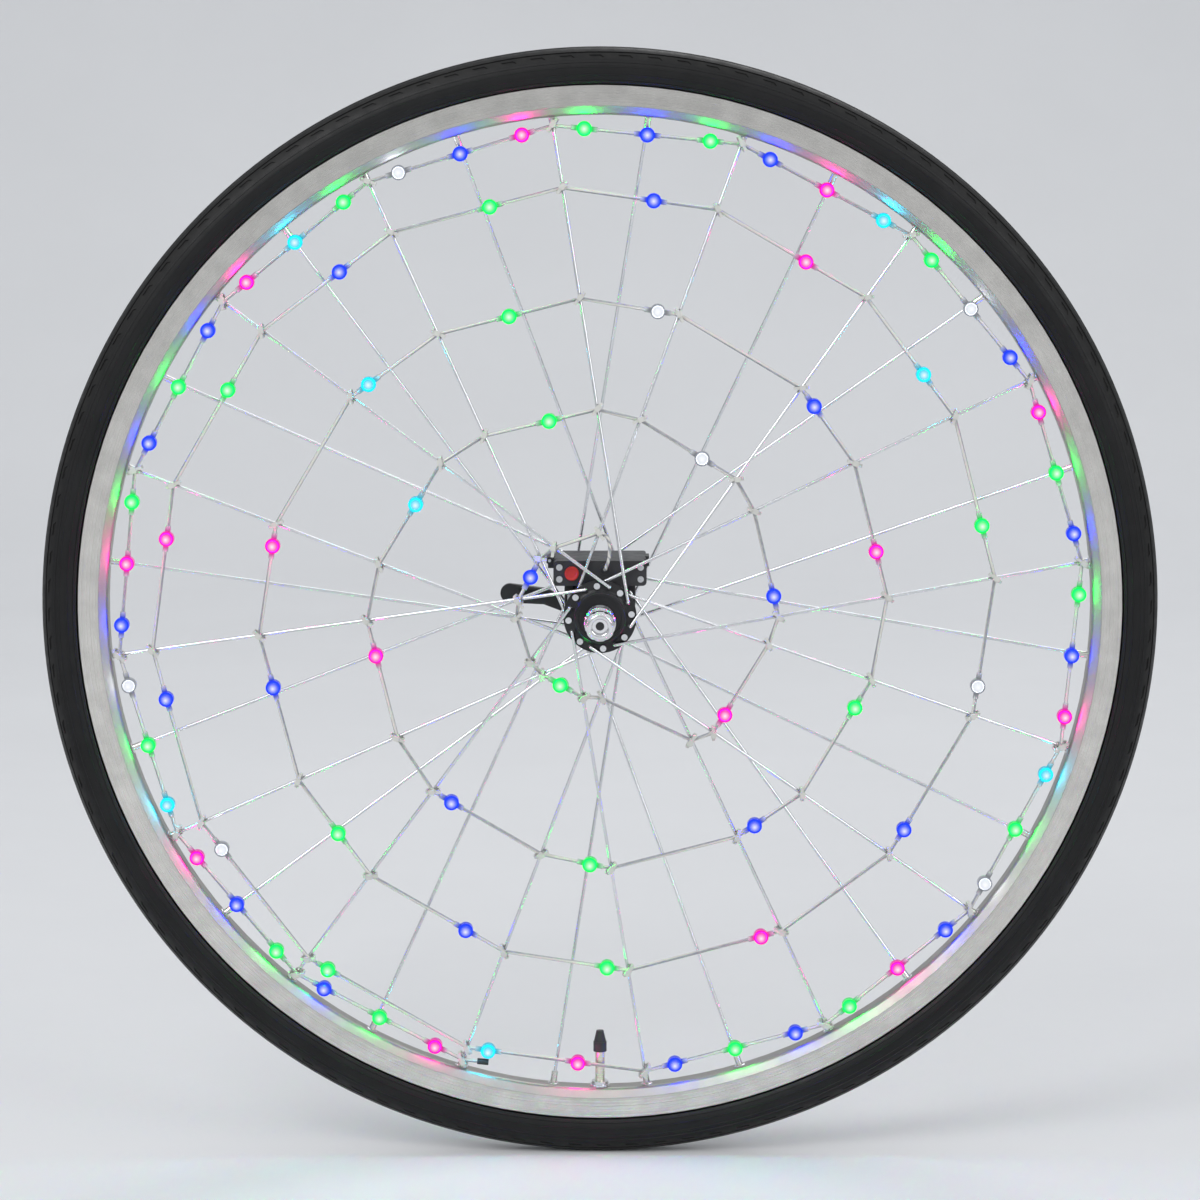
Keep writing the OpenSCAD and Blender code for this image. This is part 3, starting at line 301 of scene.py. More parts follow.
class Finish:
    """A material under construction: its tree, shader and object coordinates."""

    def __init__(self, name, metallic=0.0, **constants):
        self.material = bpy.data.materials.new(name)
        FINISHES[name] = self.material
        self.material.use_nodes = True
        self.tree = self.material.node_tree
        self.shader = self.tree.nodes["Principled BSDF"]
        self.place = self.tree.nodes.new("ShaderNodeTexCoord").outputs["Object"]
        self.shader.inputs["Metallic"].default_value = metallic
        for label, value in constants.items():
            self.shader.inputs[label.replace("_", " ")].default_value = value

    def group(self, name, **values):
        """Place a shader group with its own values."""
        node = self.tree.nodes.new("ShaderNodeGroup")
        node.node_tree = bpy.data.node_groups[name]
        if "Vector" in node.inputs:
            self.tree.links.new(self.place, node.inputs["Vector"])
        for label, value in values.items():
            put(self.tree, node.inputs[label.replace("_", " ")], value)
        return node.outputs

    def mottle(self, first, second, scale):
        return self.group("Mottle", Tone_A=first, Tone_B=second, Scale=scale)["Color"]

    def band(self, across, start, end, feather):
        return self.group("Band", Across=across, From=start, To=end, Feather=feather)["Mask"]

    def attribute(self, name):
        node = self.tree.nodes.new("ShaderNodeAttribute")
        node.attribute_name = name
        return node.outputs["Fac"]

    def lay(self):
        """Place along a cord or strap, and round or over it, from its own map."""
        node = self.tree.nodes.new("ShaderNodeUVMap")
        node.uv_map = "Lay"
        return split_node(self.tree, node.outputs[0])[:2]

    def feed(self, label, socket):
        self.tree.links.new(socket, self.shader.inputs[label])

    def bump(self, height, depth, strength, under=None):
        """Give the finish a relief, over another one where there is one."""
        node = self.tree.nodes.new("ShaderNodeBump")
        node.inputs["Strength"].default_value = strength
        node.inputs["Distance"].default_value = depth
        self.tree.links.new(height, node.inputs["Height"])
        if under is not None:
            self.tree.links.new(under, node.inputs["Normal"])
        self.feed("Normal", node.outputs[0])
        return node.outputs[0]

    def grain(self, scale, low, high, depth=None, strength=0.5, under=None):
        """Give the finish a fine grain in its roughness, and in its relief where a depth is named."""
        grain = self.group("Grain", Scale=scale, Rough_Low=low, Rough_High=high)
        self.feed("Roughness", grain["Roughness"])
        if depth is not None:
            self.bump(grain["Height"], depth, strength, under)


def shade(colour, factor):
    """A colour made darker or lighter, with its alpha kept."""
    return tuple(min(1.0, part * factor) for part in colour[:3]) + (1.0,)


def plain_finish(name, colour, rough, spread=0.12, vary=0.35, metallic=0.0, scale=1500.0, depth=30 * UM,
                 strength=0.5):
    """A moulded, cast or plated finish: two close tones, fine grain, and a roughness that wanders."""
    finish = Finish(name, metallic)
    finish.feed("Base Color", finish.mottle(shade(colour, 1.0 - vary), shade(colour, 1.0 + vary), 45.0))
    finish.grain(scale, rough - spread / 2, rough + spread / 2, depth, strength)


def plated_finish(name, colour, rough, spread, vary, scale=1500.0, depth=10 * UM):
    """A bright metal, plated or ground."""
    plain_finish(name, colour, rough, spread, vary, 1.0, scale, depth)


def turned_finish(name, colour, rough, metallic, across, pitch, depth=20 * UM, strength=0.4, vary=0.12):
    """A finish with the fine rings or lines of the tool that made it."""
    finish = Finish(name, metallic)
    wheel = finish.group("Wheel Place")
    lines = finish.group("Tool Lines", Across=wheel[across], Lines_per_Metre=pitch)
    finish.feed("Base Color", finish.mottle(shade(colour, 1.0 - vary), shade(colour, 1.0 + vary), 60.0))
    finish.feed("Roughness", range_node(finish.tree, lines["Shade"], 0.0, 1.0, rough - 0.06, rough + 0.08))
    finish.bump(lines["Height"], depth, strength)


def tyre_finish():
    """Matt rubber, a little dusty on its crown, with the faint rings of its mould."""
    base = colours().rubber
    dust = (0.022, 0.021, 0.019, 1.0)
    bead_r = 317.5 * MM
    shoulder_r = 331.5 * MM
    past_crown_r = 360 * MM
    finish = Finish("tyre_rubber", Specular_IOR_Level=0.27)
    tree = finish.tree
    radius = finish.group("Wheel Place")["Radius"]
    crown = finish.band(radius, shoulder_r, past_crown_r, 1.5 * MM)
    wall = finish.band(radius, bead_r, shoulder_r, 0.8 * MM)
    clean = finish.mottle(shade(base, 0.8), shade(base, 1.35), 55.0)
    dusty = finish.mottle(shade(base, 1.3), dust, 240.0)
    finish.feed("Base Color", mix_node(tree, times(tree, crown, 0.5), clean, dusty))
    turned = finish.group("Tool Lines", Across=radius, Lines_per_Metre=2400.0)
    moulded = finish.bump(times(tree, turned["Height"], wall), 80 * UM, 0.5)
    finish.grain(2600.0, 0.38, 0.56, 40 * UM, 0.5, moulded)


def rim_finish():
    """Matt silver anodising, and a brake track that the lathe left bright and ringed."""
    base = colours().alloy
    track_in_r = 304.0 * MM
    track_out_r = 316.6 * MM
    finish = Finish("rim_alloy", 1.0, Anisotropic=0.5)
    tree = finish.tree
    turned = tree.nodes.new("ShaderNodeTangent")
    turned.direction_type = "RADIAL"
    turned.axis = "Y"
    finish.feed("Tangent", turned.outputs[0])
    radius = finish.group("Wheel Place")["Radius"]
    track = finish.band(radius, track_in_r, track_out_r, 0.4 * MM)
    beside = math_node(tree, "SUBTRACT", 1.0, track)
    lines = finish.group("Tool Lines", Across=radius, Lines_per_Metre=5200.0)
    matt = finish.mottle(shade(base, 0.5), shade(base, 0.58), 26.0)
    scuffed = finish.mottle(shade(base, 0.92), shade(base, 1.12), 75.0)
    ringed = mix_node(tree, times(tree, lines["Shade"], 0.4), scuffed, shade(base, 0.62))
    finish.feed("Base Color", mix_node(tree, track, matt, ringed))
    grain = finish.group("Grain", Scale=1800.0, Rough_Low=0.42, Rough_High=0.54)
    bright = range_node(tree, lines["Shade"], 0.0, 1.0, 0.22, 0.36)
    rough = plus(tree, times(tree, bright, track), times(tree, grain["Roughness"], beside))
    finish.feed("Roughness", rough)
    depth = plus(tree, times(tree, track, 0.8), 0.2)
    cut = finish.bump(times(tree, lines["Height"], depth), 40 * UM, 0.5)
    finish.bump(grain["Height"], 20 * UM, 0.4, cut)


def spoke_finish():
    """Bright stainless wire with the long scratches of the die it was drawn through."""
    base = colours().stainless
    finish = Finish("spoke_steel", 1.0)
    scratches = noise_node(finish.tree, finish.group("Wheel Place")["Drawn"], 2600.0, detail=3.0, rough=0.6)
    finish.feed("Base Color", finish.mottle(shade(base, 0.9), shade(base, 1.1), 35.0))
    finish.feed("Roughness", range_node(finish.tree, scratches, 0.35, 0.7, 0.16, 0.34))
    finish.bump(scratches, 10 * UM, 0.3)


def lens_finish(name, colour, share):
    """Clear plastic lit by the chip under it: hot in the middle, deep in colour at its edge."""
    whitening = 0.9
    falloff = 1.5
    purity = 1.5
    finish = Finish(name, IOR=1.49, Specular_IOR_Level=0.2, Emission_Strength=1.0,
                    Base_Color=shade(colour, 0.04))
    tree = finish.tree
    hot = math_node(tree, "POWER", finish.attribute("Core"), falloff)
    pale = tuple(whitening + (1.0 - whitening) * part for part in colour[:3]) + (1.0,)
    seen = mix_node(tree, hot, finish.mottle(shade(colour, 0.86), shade(colour, 1.0), 900.0), pale)
    thrown = tuple(part ** purity * share * sizes().glow for part in colour[:3]) + (1.0,)
    path = tree.nodes.new("ShaderNodeLightPath")
    finish.feed("Emission Color", mix_node(tree, path.outputs["Is Camera Ray"], thrown, seen))
    finish.grain(3500.0, 0.2, 0.36, 30 * UM, 0.4)


def body_finish(name, colour, share):
    """A clear housing with its lens's light painted on: a painted glow and tint round the lens, a paler
    painted tint behind it, fading to clear along its sleeves.
    """
    finish = Finish(name, IOR=1.49, Specular_IOR_Level=0.35, Emission_Strength=1.0)
    tree = finish.tree
    lit = finish.attribute("Glow")
    behind = finish.attribute("Behind")
    clear = finish.mottle((0.42, 0.43, 0.45, 1.0), (0.54, 0.55, 0.57, 1.0), 300.0)
    # Painted light: near its lens the base colour takes the lens's colour, darker at the front and paler at
    # the back
    painted_bezel_tint = finish.mottle(shade(colour, 0.08 * share), shade(colour, 0.14 * share), 500.0)
    painted_glow_tint = mix_node(tree, behind, painted_bezel_tint, shade(colour, 0.36))
    # Painted glow: the housing emits its lens's colour, though the lamp is only under the lens
    glowing = mix_node(tree, behind, shade(colour, 0.55 * share), shade(colour, 0.24))
    finish.feed("Base Color", mix_node(tree, lit, clear, painted_glow_tint))
    finish.feed("Emission Color", mix_node(tree, lit, BLACK, glowing))
    finish.grain(3000.0, 0.22, 0.38, 30 * UM, 0.4)


def cable_finish():
    """Clear vinyl over two twisted bright wires, which show as slanting strands."""
    twist_len = 9 * MM
    wires = 2.0
    finish = Finish("cable_clear", IOR=1.5, Coat_Weight=0.6, Coat_Roughness=0.12)
    tree = finish.tree
    along, around = finish.lay()
    twist = plus(tree, times(tree, along, FULL_TURN / twist_len), times(tree, around, FULL_TURN))
    strand = range_node(tree, math_node(tree, "SINE", times(tree, twist, wires)), -0.35, 0.45)
    vinyl = finish.mottle((0.26, 0.27, 0.29, 1.0), (0.36, 0.37, 0.39, 1.0), 300.0)
    finish.feed("Base Color", mix_node(tree, strand, (0.62, 0.60, 0.56, 1.0), vinyl))
    finish.grain(2500.0, 0.18, 0.34)
    finish.bump(strand, 80 * UM, 0.5)


def web_finish():
    """Black webbing: a plain weave that follows the strap."""
    thread_pitch = 1.6 * MM
    finish = Finish("strap_web", Sheen_Weight=0.3, Sheen_Roughness=0.5)
    tree = finish.tree
    along, over = finish.lay()
    warp = math_node(tree, "SINE", times(tree, along, FULL_TURN / thread_pitch))
    weft = math_node(tree, "SINE", times(tree, over, FULL_TURN / thread_pitch))
    weave = range_node(tree, times(tree, warp, weft), -0.8, 0.8)
    yarn = finish.mottle((0.014, 0.014, 0.016, 1.0), (0.034, 0.034, 0.038, 1.0), 160.0)
    finish.feed("Base Color", mix_node(tree, times(tree, weave, 0.6), yarn, (0.055, 0.055, 0.06, 1.0)))
    woven = finish.bump(weave, 300 * UM, 0.8)
    finish.grain(4000.0, 0.75, 0.95, 60 * UM, 0.5, woven)


def floor_finish():
    """Pale seamless paper without sheen."""
    base = colours().floor
    finish = Finish("studio_paper", Specular_IOR_Level=0.08)
    finish.feed("Base Color", finish.mottle(shade(base, 0.985), shade(base, 1.01), 3.0))
    finish.grain(900.0, 0.75, 0.9)


def small_finishes():
    """The finishes that need no nodes of their own."""
    tint = colours()
    plain_finish("tube_rubber", (0.03, 0.03, 0.032), 0.55, scale=1800.0)
    plain_finish("rim_tape_cloth", (0.5, 0.08, 0.05), 0.85, scale=2600.0, depth=100 * UM)
    plain_finish("black_plastic", tint.moulding, 0.5, 0.14, 0.3, scale=2400.0, depth=60 * UM, strength=0.7)
    # Dark rod: painted shade, so the skewer rod's end looks dark in the hollow of the nut's face
    plain_finish("rod_thread", (0.035, 0.035, 0.038), 0.45, 0.12, 0.2, metallic=0.5, scale=2000.0,
                 depth=20 * UM)
    plain_finish("black_alloy", tint.anodised, 0.36, 0.14, 0.3, metallic=0.25, scale=1800.0, depth=20 * UM)
    plain_finish("strap_thread", (0.16, 0.16, 0.17), 0.7, 0.16, 0.2, scale=5000.0, depth=80 * UM)
    plain_finish("seal_silicone", (0.55, 0.16, 0.04), 0.5)
    plain_finish("button_red", (0.5, 0.02, 0.015), 0.55, 0.16, 0.2, scale=2400.0, depth=50 * UM)
    plain_finish("board_green", (0.012, 0.12, 0.045), 0.35, 0.2, 0.3, scale=900.0)
    plain_finish("switch_black", (0.03, 0.03, 0.033), 0.45, scale=2000.0)
    plain_finish("cell_wrap", (0.45, 0.22, 0.03), 0.3, 0.15, 0.2, scale=700.0, depth=20 * UM)
    plain_finish("tie_nylon", (0.56, 0.56, 0.53), 0.38, 0.16, 0.06, scale=2600.0)
    plain_finish("chip_cream", (0.82, 0.76, 0.5), 0.35, 0.15, 0.1, scale=2500.0, depth=20 * UM)
    plated_finish("plated_nut", (0.78, 0.78, 0.8), 0.22, 0.14, 0.08, scale=1200.0)
    plated_finish("nipple_brass", (0.75, 0.74, 0.7), 0.25, 0.14, 0.12)
    plated_finish("bearing_steel", (0.74, 0.75, 0.77), 0.14, 0.1, 0.06, scale=2500.0, depth=5 * UM)
    plated_finish("cage_steel", (0.5, 0.46, 0.36), 0.35, 0.15, 0.15)
    plated_finish("contact_metal", (0.72, 0.69, 0.6), 0.28, 0.12, 0.1)
    turned_finish("valve_brass", (0.72, 0.68, 0.58), 0.28, 1.0, "Radius", 4000.0, strength=0.35)
    turned_finish("hub_black", tint.anodised, 0.32, 0.35, "Side", 3600.0, 30 * UM, strength=0.5, vary=0.25)
    turned_finish("dark_steel", (0.022, 0.022, 0.024), 0.4, 0.4, "Radius", 5000.0, vary=0.2)
    turned_finish("axle_steel", (0.6, 0.61, 0.63), 0.32, 1.0, "Radius", 5000.0)
    turned_finish("chrome", (0.80, 0.80, 0.82), 0.1, 1.0, "Radius", 6000.0, 6 * UM, strength=0.25, vary=0.05)


def dress(*nodes, finish=None):
    """Give CAD nodes the finish of their slot in the record, or the one that is named."""
    slots = {row["node"]: row["material_slot"] for row in frame["record"]["subparts"]}
    for name in nodes:
        obj = frame["nodes"][name]
        obj.data.materials.clear()
        obj.data.materials.append(FINISHES[finish or slots[name]])


# Meshes

SHARP = math.radians(35)


def object_from(bm, name, finish):
    """Turn a finished bmesh into a smooth object with one finish."""
    mesh = bpy.data.meshes.new(name)
    bm.to_mesh(mesh)
    bm.free()
    obj = bpy.data.objects.new(name, mesh)
    bpy.context.scene.collection.objects.link(obj)
    mesh.materials.append(FINISHES[finish])
    for face in mesh.polygons:
        face.use_smooth = True
    return obj


def piece_from(bm, name, slot, body, *nodes, finish=None):
    """A piece that rides on a body and stands for the named CAD nodes."""
    obj = object_from(bm, name, finish or slot)
    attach(obj, body)
    if nodes:
        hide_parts(*nodes)
    return obj


def line_of(bm, points, closed=False):
    """Vertices at the points, and the edges between them."""
    verts = [bm.verts.new(point) for point in points]
    ends = verts[1:] + verts[:1] if closed else verts[1:]
    return verts, [bm.edges.new(pair) for pair in zip(verts, ends)]


def spin_round(bm, points, centre, axis, steps, closed=True):
    """Turn a profile once round an axis."""
    verts, edges = line_of(bm, points, closed)
    bmesh.ops.spin(bm, geom=verts + edges, cent=centre, axis=axis, angle=FULL_TURN, steps=steps,
                   use_merge=True)


def close_seams(bm):
    """Join the seams and poles of a spun form, and turn its faces outwards."""
    bmesh.ops.remove_doubles(bm, verts=bm.verts, dist=MERGE_DIST)
    bmesh.ops.recalc_face_normals(bm, faces=bm.faces)


def extrude_lines(bm, edges, way):
    """Sweep edges along a vector, and give the edges at the far end."""
    made = bmesh.ops.extrude_edge_only(bm, edges=edges)["geom"]
    far = {item for item in made if isinstance(item, bmesh.types.BMVert)}
    bmesh.ops.translate(bm, vec=way, verts=list(far))
    return [item for item in made if isinstance(item, bmesh.types.BMEdge) and far.issuperset(item.verts)]


def sharpen(bm):
    """Mark the edges that stay crisp under smooth shading."""
    for edge in bm.edges:
        edge.smooth = edge.calc_face_angle(0.0) < SHARP


def merged_copy(node):
    """A CAD node's mesh with its triangles joined and its sharp edges marked."""
    bm = bmesh.new()
    bm.from_mesh(frame["nodes"][node].data)
    bmesh.ops.remove_doubles(bm, verts=bm.verts, dist=MERGE_DIST)
    sharpen(bm)
    return bm


def islands(bm):
    """Lists of vertices that hang together, each with its middle."""
    left = set(bm.verts)
    while left:
        waiting = [left.pop()]
        group = []
        while waiting:
            vert = waiting.pop()
            group.append(vert)
            near = {edge.other_vert(vert) for edge in vert.link_edges} & left
            left -= near
            waiting.extend(near)
        low = Vector([min(vert.co[axis] for vert in group) for axis in range(3)])
        high = Vector([max(vert.co[axis] for vert in group) for axis in range(3)])
        yield group, (low + high) / 2


def lengths_along(points):
    """Distance of each point from the first, along the line."""
    run = [0.0]
    for first, second in zip(points, points[1:]):
        run.append(run[-1] + (second - first).length)
    return run


def across(place, middle):
    """Distance between two points as the wheel's side shows it."""
    return math.hypot(place.x - middle.x, place.z - middle.z)


def clamp(value):
    """A value kept between nothing and one."""
    return min(1.0, max(0.0, value))


# Lacing and route of the light string, in millimetres, the same as the solids follow

SPOKES = 32
CROSSES = 3
VALVE_ANGLE = 270
SPOKE_R = 1.0
SPOKE_HOLES_R = 19.0
FLANGE_Y = 35.0
ELBOW_OFF = 2.7
BED_R = 298.5
BED_T = 2.0
NIPPLE_R = 2.0
NIPPLE_HEAD_R = 3.0
NIPPLE_HOLE_R = 2.2
NIPPLE_LEN = 12.0
SEAT_GAP = 0.25
SEAT_R = BED_R + BED_T + math.sqrt(NIPPLE_HEAD_R ** 2 - NIPPLE_HOLE_R ** 2) + SEAT_GAP
TIE_W = 2.0
TIE_GAP = 0.2
TIES = 72
INNER_TIES = 9
INNER_R = 50.0
INNER_HOLES = (14, 18)
SPIRAL_TIES = 48
SPIRAL_HOLE = 2
SPIRAL_R = 95.0
RING_R = 293.5
CABLE_TAIL = 14.0
LEAD_IN = ((3, -19.5, 27.8), (3, -30.7, 27.8), (3.4, -32.2, 29), (5.5, -33, 35), (6, -32.3, 43),
           (4.2, -31.2, 48.6))
BEND_STEPS = 4
BEND_SHARE = 0.4


def polar(radius, degrees, y=0.0):
    turn = math.radians(degrees)
    return Vector((radius * math.cos(turn), y, radius * math.sin(turn)))


def spoke_ends(hole):
    """Elbow at the hub and seat at the rim of the spoke in one rim hole."""
    way = 1 if (hole // 2) % 2 == 0 else -1
    side = -1 if hole % 2 == 0 else 1
    rim_turn = VALVE_ANGLE + (hole + 0.5) * 360 / SPOKES
    hub_turn = rim_turn - way * CROSSES * 720 / SPOKES
    return polar(SPOKE_HOLES_R, hub_turn, side * (FLANGE_Y + way * ELBOW_OFF)), polar(SEAT_R, rim_turn)


def spoke_point(hole, radius):
    """Point of a spoke's middle line at a distance from the axle."""
    start, end = spoke_ends(hole)
    run = end - start
    a = run.x * run.x + run.z * run.z
    b = 2 * (start.x * run.x + start.z * run.z)
    c = start.x * start.x + start.z * start.z - radius * radius
    return start + run * ((-b + math.sqrt(b * b - 4 * a * c)) / (2 * a))


def tie_point(k):
    """Middle of the cable at its k-th tie."""
    past = k - INNER_TIES
    if past < 0:
        hole = INNER_HOLES[k % 2] + 2 * k
        radius = INNER_R
    else:
        hole = SPIRAL_HOLE + 2 * past
        radius = min(RING_R, SPIRAL_R + (RING_R - SPIRAL_R) * past / SPIRAL_TIES)
    held_r = NIPPLE_R if radius > SEAT_R - NIPPLE_LEN - TIE_W else SPOKE_R
    cable_r = sizes().cable_d / (2 * MM)
    return spoke_point(hole % SPOKES, radius) - Vector((0, held_r + TIE_GAP + cable_r, 0))


def cable_route():
    """Points of the cable from the battery pack to its closed end, in metres."""
    ties = [tie_point(k) for k in range(TIES)]
    tail = (tie_point(TIES) - ties[-1]).normalized()
    route = [Vector(point) for point in LEAD_IN] + ties + [ties[-1] + CABLE_TAIL * tail]
    return [MM * point for point in route]


def eased(route, reach):
    """The route with each corner drawn as a short bend."""
    points = [route[0]]
    for before, corner, after in zip(route, route[1:], route[2:]):
        back = min(reach, BEND_SHARE * (before - corner).length)
        on = min(reach, BEND_SHARE * (after - corner).length)
        start = corner + (before - corner).normalized() * back
        end = corner + (after - corner).normalized() * on
        for step in range(BEND_STEPS + 1):
            t = step / BEND_STEPS
            points.append(start * (1 - t) ** 2 + corner * 2 * t * (1 - t) + end * t * t)
    points.append(route[-1])
    return points


# Operators, one for each piece or group of like pieces

class WHEELLIGHT_OT_finishes(bpy.types.Operator):
    """Make the shader groups and the finish of every slot"""
    bl_idname = "wheel_light.finishes"
    bl_label = "Make finishes"

    def execute(self, context):
        for build in (mottle_group, grain_group, lines_group, polar_group, band_group, tyre_finish,
                      rim_finish, spoke_finish, cable_finish, web_finish, floor_finish, small_finishes):
            build()
        for name in LIGHTS:
            colour = getattr(colours(), name)
            share = SHARES.get(name, 1.0)
            lens_finish("lens_" + name, colour, share)
            body_finish("lit_housing_" + name, colour, share)
        return {"FINISHED"}


class WHEELLIGHT_OT_tyre(bpy.types.Operator):
    """Mould the tyre with its tread grooves, shoulder sipes and sidewall rings"""
    bl_idname = "wheel_light.tyre"
    bl_label = "Mould the tyre"

    # Places and half widths are degrees from the crown, depths and heights are millimetres.
    # A half width is given at the flat of a groove or ring, and then at its foot.
    ROUND_STEPS = 240
    SIPES = (46.0, 58.0)
    SMOOTH = (0, 6, 21, 26, 31, *SIPES, 62, 75, 86, 91, 96, 106, 111)
    GROOVES = (13.9, 39.8)
    GROOVE_HALF = (2.0, 2.6)
    GROOVE_DEPTH = 0.6
    RINGS = ((68.5, 0.3), (79.7, 0.25), (99.7, 0.25), (115.8, 0.45))
    RING_HALF = (1.5, 2.3)
    CASING = 2.4 * MM
    CASING_ANGLES = range(112, -113, -16)
    NECK_R = 317.3 * MM
    NECK_Y = 6.8 * MM
    FOOT_R = 313.0 * MM
    OUTER_SKIN = 0.5 * MM
    LEAN_FROM = 43
    LEAN_TO = 62
    LEAN_STEPS = 0.55
    SIPE_LAND = 0.5 * MM
    SIPE_SLOPE = 0.25 * MM
    SIPE_DEPTH = 0.6 * MM

    def execute(self, context):
        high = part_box("tyre")[1]
        self.round_r = high[1]
        self.middle_r = high[0] - high[1]
        bm = bmesh.new()
        spin_round(bm, [(r, y, 0.0) for r, y in self.section()], CENTRE, AXLE, self.ROUND_STEPS)
        close_seams(bm)
        self.cut_sipes(bm)
        sharpen(bm)
        piece_from(bm, "moulded_tyre", "tyre_rubber", "wheel", "tyre")
        return {"FINISHED"}

    def section(self):
        """The tyre's closed section: outer face, neck between the rim's hooks, and casing inside."""
        neck_angle = math.degrees(math.acos((self.NECK_R - self.middle_r) / self.round_r))
        half = [(angle, 0.0) for angle in (*self.SMOOTH, neck_angle)]
        steps = [(angle, -self.GROOVE_DEPTH, self.GROOVE_HALF) for angle in self.GROOVES]
        steps += [(angle, lift, self.RING_HALF) for angle, lift in self.RINGS]
        for angle, lift, (flat, foot) in steps:
            half += [(angle - foot, 0.0), (angle - flat, lift), (angle + flat, lift), (angle + foot, 0.0)]
        half.sort()
        outer = [(-angle, lift) for angle, lift in reversed(half[1:])] + half
        line = [self.on_section(angle, lift * MM) for angle, lift in outer]
        inner_y = self.NECK_Y - self.CASING
        neck = [(self.NECK_R, self.NECK_Y), (self.FOOT_R, self.NECK_Y), (self.FOOT_R, inner_y),
                (self.NECK_R + self.CASING, inner_y)]
        line += neck + [self.on_section(angle, -self.CASING) for angle in self.CASING_ANGLES]
        return line + [(r, -y) for r, y in reversed(neck)]

    def on_section(self, angle, lift):
        """Radius and side of a point at an angle from the crown, a lift above the tyre's face."""
        turn = math.radians(angle)
        far = self.round_r + lift
        return self.middle_r + far * math.cos(turn), far * math.sin(turn)

    def off_crown(self, place):
        """Angle of a place from the crown, and its distance from the section's middle."""
        out = math.hypot(place.x, place.z) - self.middle_r
        return abs(math.degrees(math.atan2(place.y, out))), math.hypot(place.y, out)

    def cut_sipes(self, bm):
        """Slanting cuts on both shoulders, one at every second step round the wheel."""
        step = FULL_TURN / self.ROUND_STEPS
        cuts = []
        for face in bm.faces:
            place = face.calc_center_median()
            angle, far = self.off_crown(place)
            count = int((math.atan2(place.z, place.x) + math.pi) / step)
            outside = far > self.round_r - self.OUTER_SKIN
            if outside and self.SIPES[0] < angle < self.SIPES[1] and count % 2 == 0:
                cuts.append(face)
        for vert in bm.verts:
            angle = self.off_crown(vert.co)[0]
            lean = self.LEAN_STEPS * clamp((angle - self.LEAN_FROM) / (self.LEAN_TO - self.LEAN_FROM))
            vert.co.rotate(Matrix.Rotation(lean * step, 3, "Y"))
        bmesh.ops.inset_individual(bm, faces=cuts, thickness=self.SIPE_LAND, use_even_offset=True)
        bmesh.ops.inset_individual(bm, faces=cuts, thickness=self.SIPE_SLOPE, depth=-self.SIPE_DEPTH,
                                   use_even_offset=True)


class WHEELLIGHT_OT_wheel(bpy.types.Operator):
    """Dress the tube, rim, valve, spokes and nipples, and press an eyelet into each spoke hole"""
    bl_idname = "wheel_light.wheel"
    bl_label = "Dress the wheel"

    # An eyelet's section: distance from the nipple's axis and height over the rim's bed, in millimetres
    EYELET = ((2.45, -0.3), (2.45, 0.35), (2.7, 0.55), (3.1, 0.5), (3.5, 0.2), (3.5, -0.3))
    EYELET_STEPS = 20

    def execute(self, context):
        dress("inner_tube", "rim", "rim_tape", "valve_stem", "valve_nut", "valve_cap", "nipples",
              "spokes_nut_outer", "spokes_nut_inner", "spokes_lever_outer", "spokes_lever_inner")
        bm = bmesh.new()
        for hole in range(SPOKES):
            middle = spoke_point(hole, BED_R) * MM
            inward = -Vector((middle.x, 0.0, middle.z)).normalized()
            profile = [middle + MM * (Vector((0.0, out, 0.0)) + inward * rise) for out, rise in self.EYELET]
            spin_round(bm, profile, middle, inward, self.EYELET_STEPS)
        close_seams(bm)
        sharpen(bm)
        piece_from(bm, "rim_eyelets", "plated_nut", "wheel")
        return {"FINISHED"}


class WHEELLIGHT_OT_hub(bpy.types.Operator):
    """Dress the hub, its bearings, the axle and the skewer, and roll the rim of the skewer nut's face"""
    bl_idname = "wheel_light.hub"
    bl_label = "Dress the hub"

    RIM_R = 6.15 * MM
    RIM_HALF_W = 1.5 * MM
    RIM_RISE = 0.9 * MM
    RIM_SINK = 0.05 * MM
    RIM_STEPS = 72
    ARC_STEPS = 10

    def execute(self, context):
        dress("hub_shell", "bearing_cups", "dust_caps", "balls_nut_side", "cage_nut_side", "balls_lever_side",
              "cage_lever_side", "axle", "cones", "axle_washers", "locknuts", "skewer_nut",
              "skewer_head", "skewer_lever", "lever_nut", "skewer_springs")
        # The skewer rod takes a dark finish as painted shade for its end in the nut's hollow
        dress("skewer_rod", finish="rod_thread")
        face_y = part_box("skewer_nut")[0][1] + self.RIM_SINK
        turns = [step * math.pi / self.ARC_STEPS for step in range(self.ARC_STEPS + 1)]
        profile = []
        for turn in turns:
            out = self.RIM_R + self.RIM_HALF_W * math.cos(turn)
            profile.append((out, face_y - self.RIM_RISE * math.sin(turn), 0.0))
        bm = bmesh.new()
        spin_round(bm, profile, CENTRE, AXLE, self.RIM_STEPS)
        close_seams(bm)
        piece_from(bm, "nut_rolled_rim", "chrome", "nut")
        return {"FINISHED"}


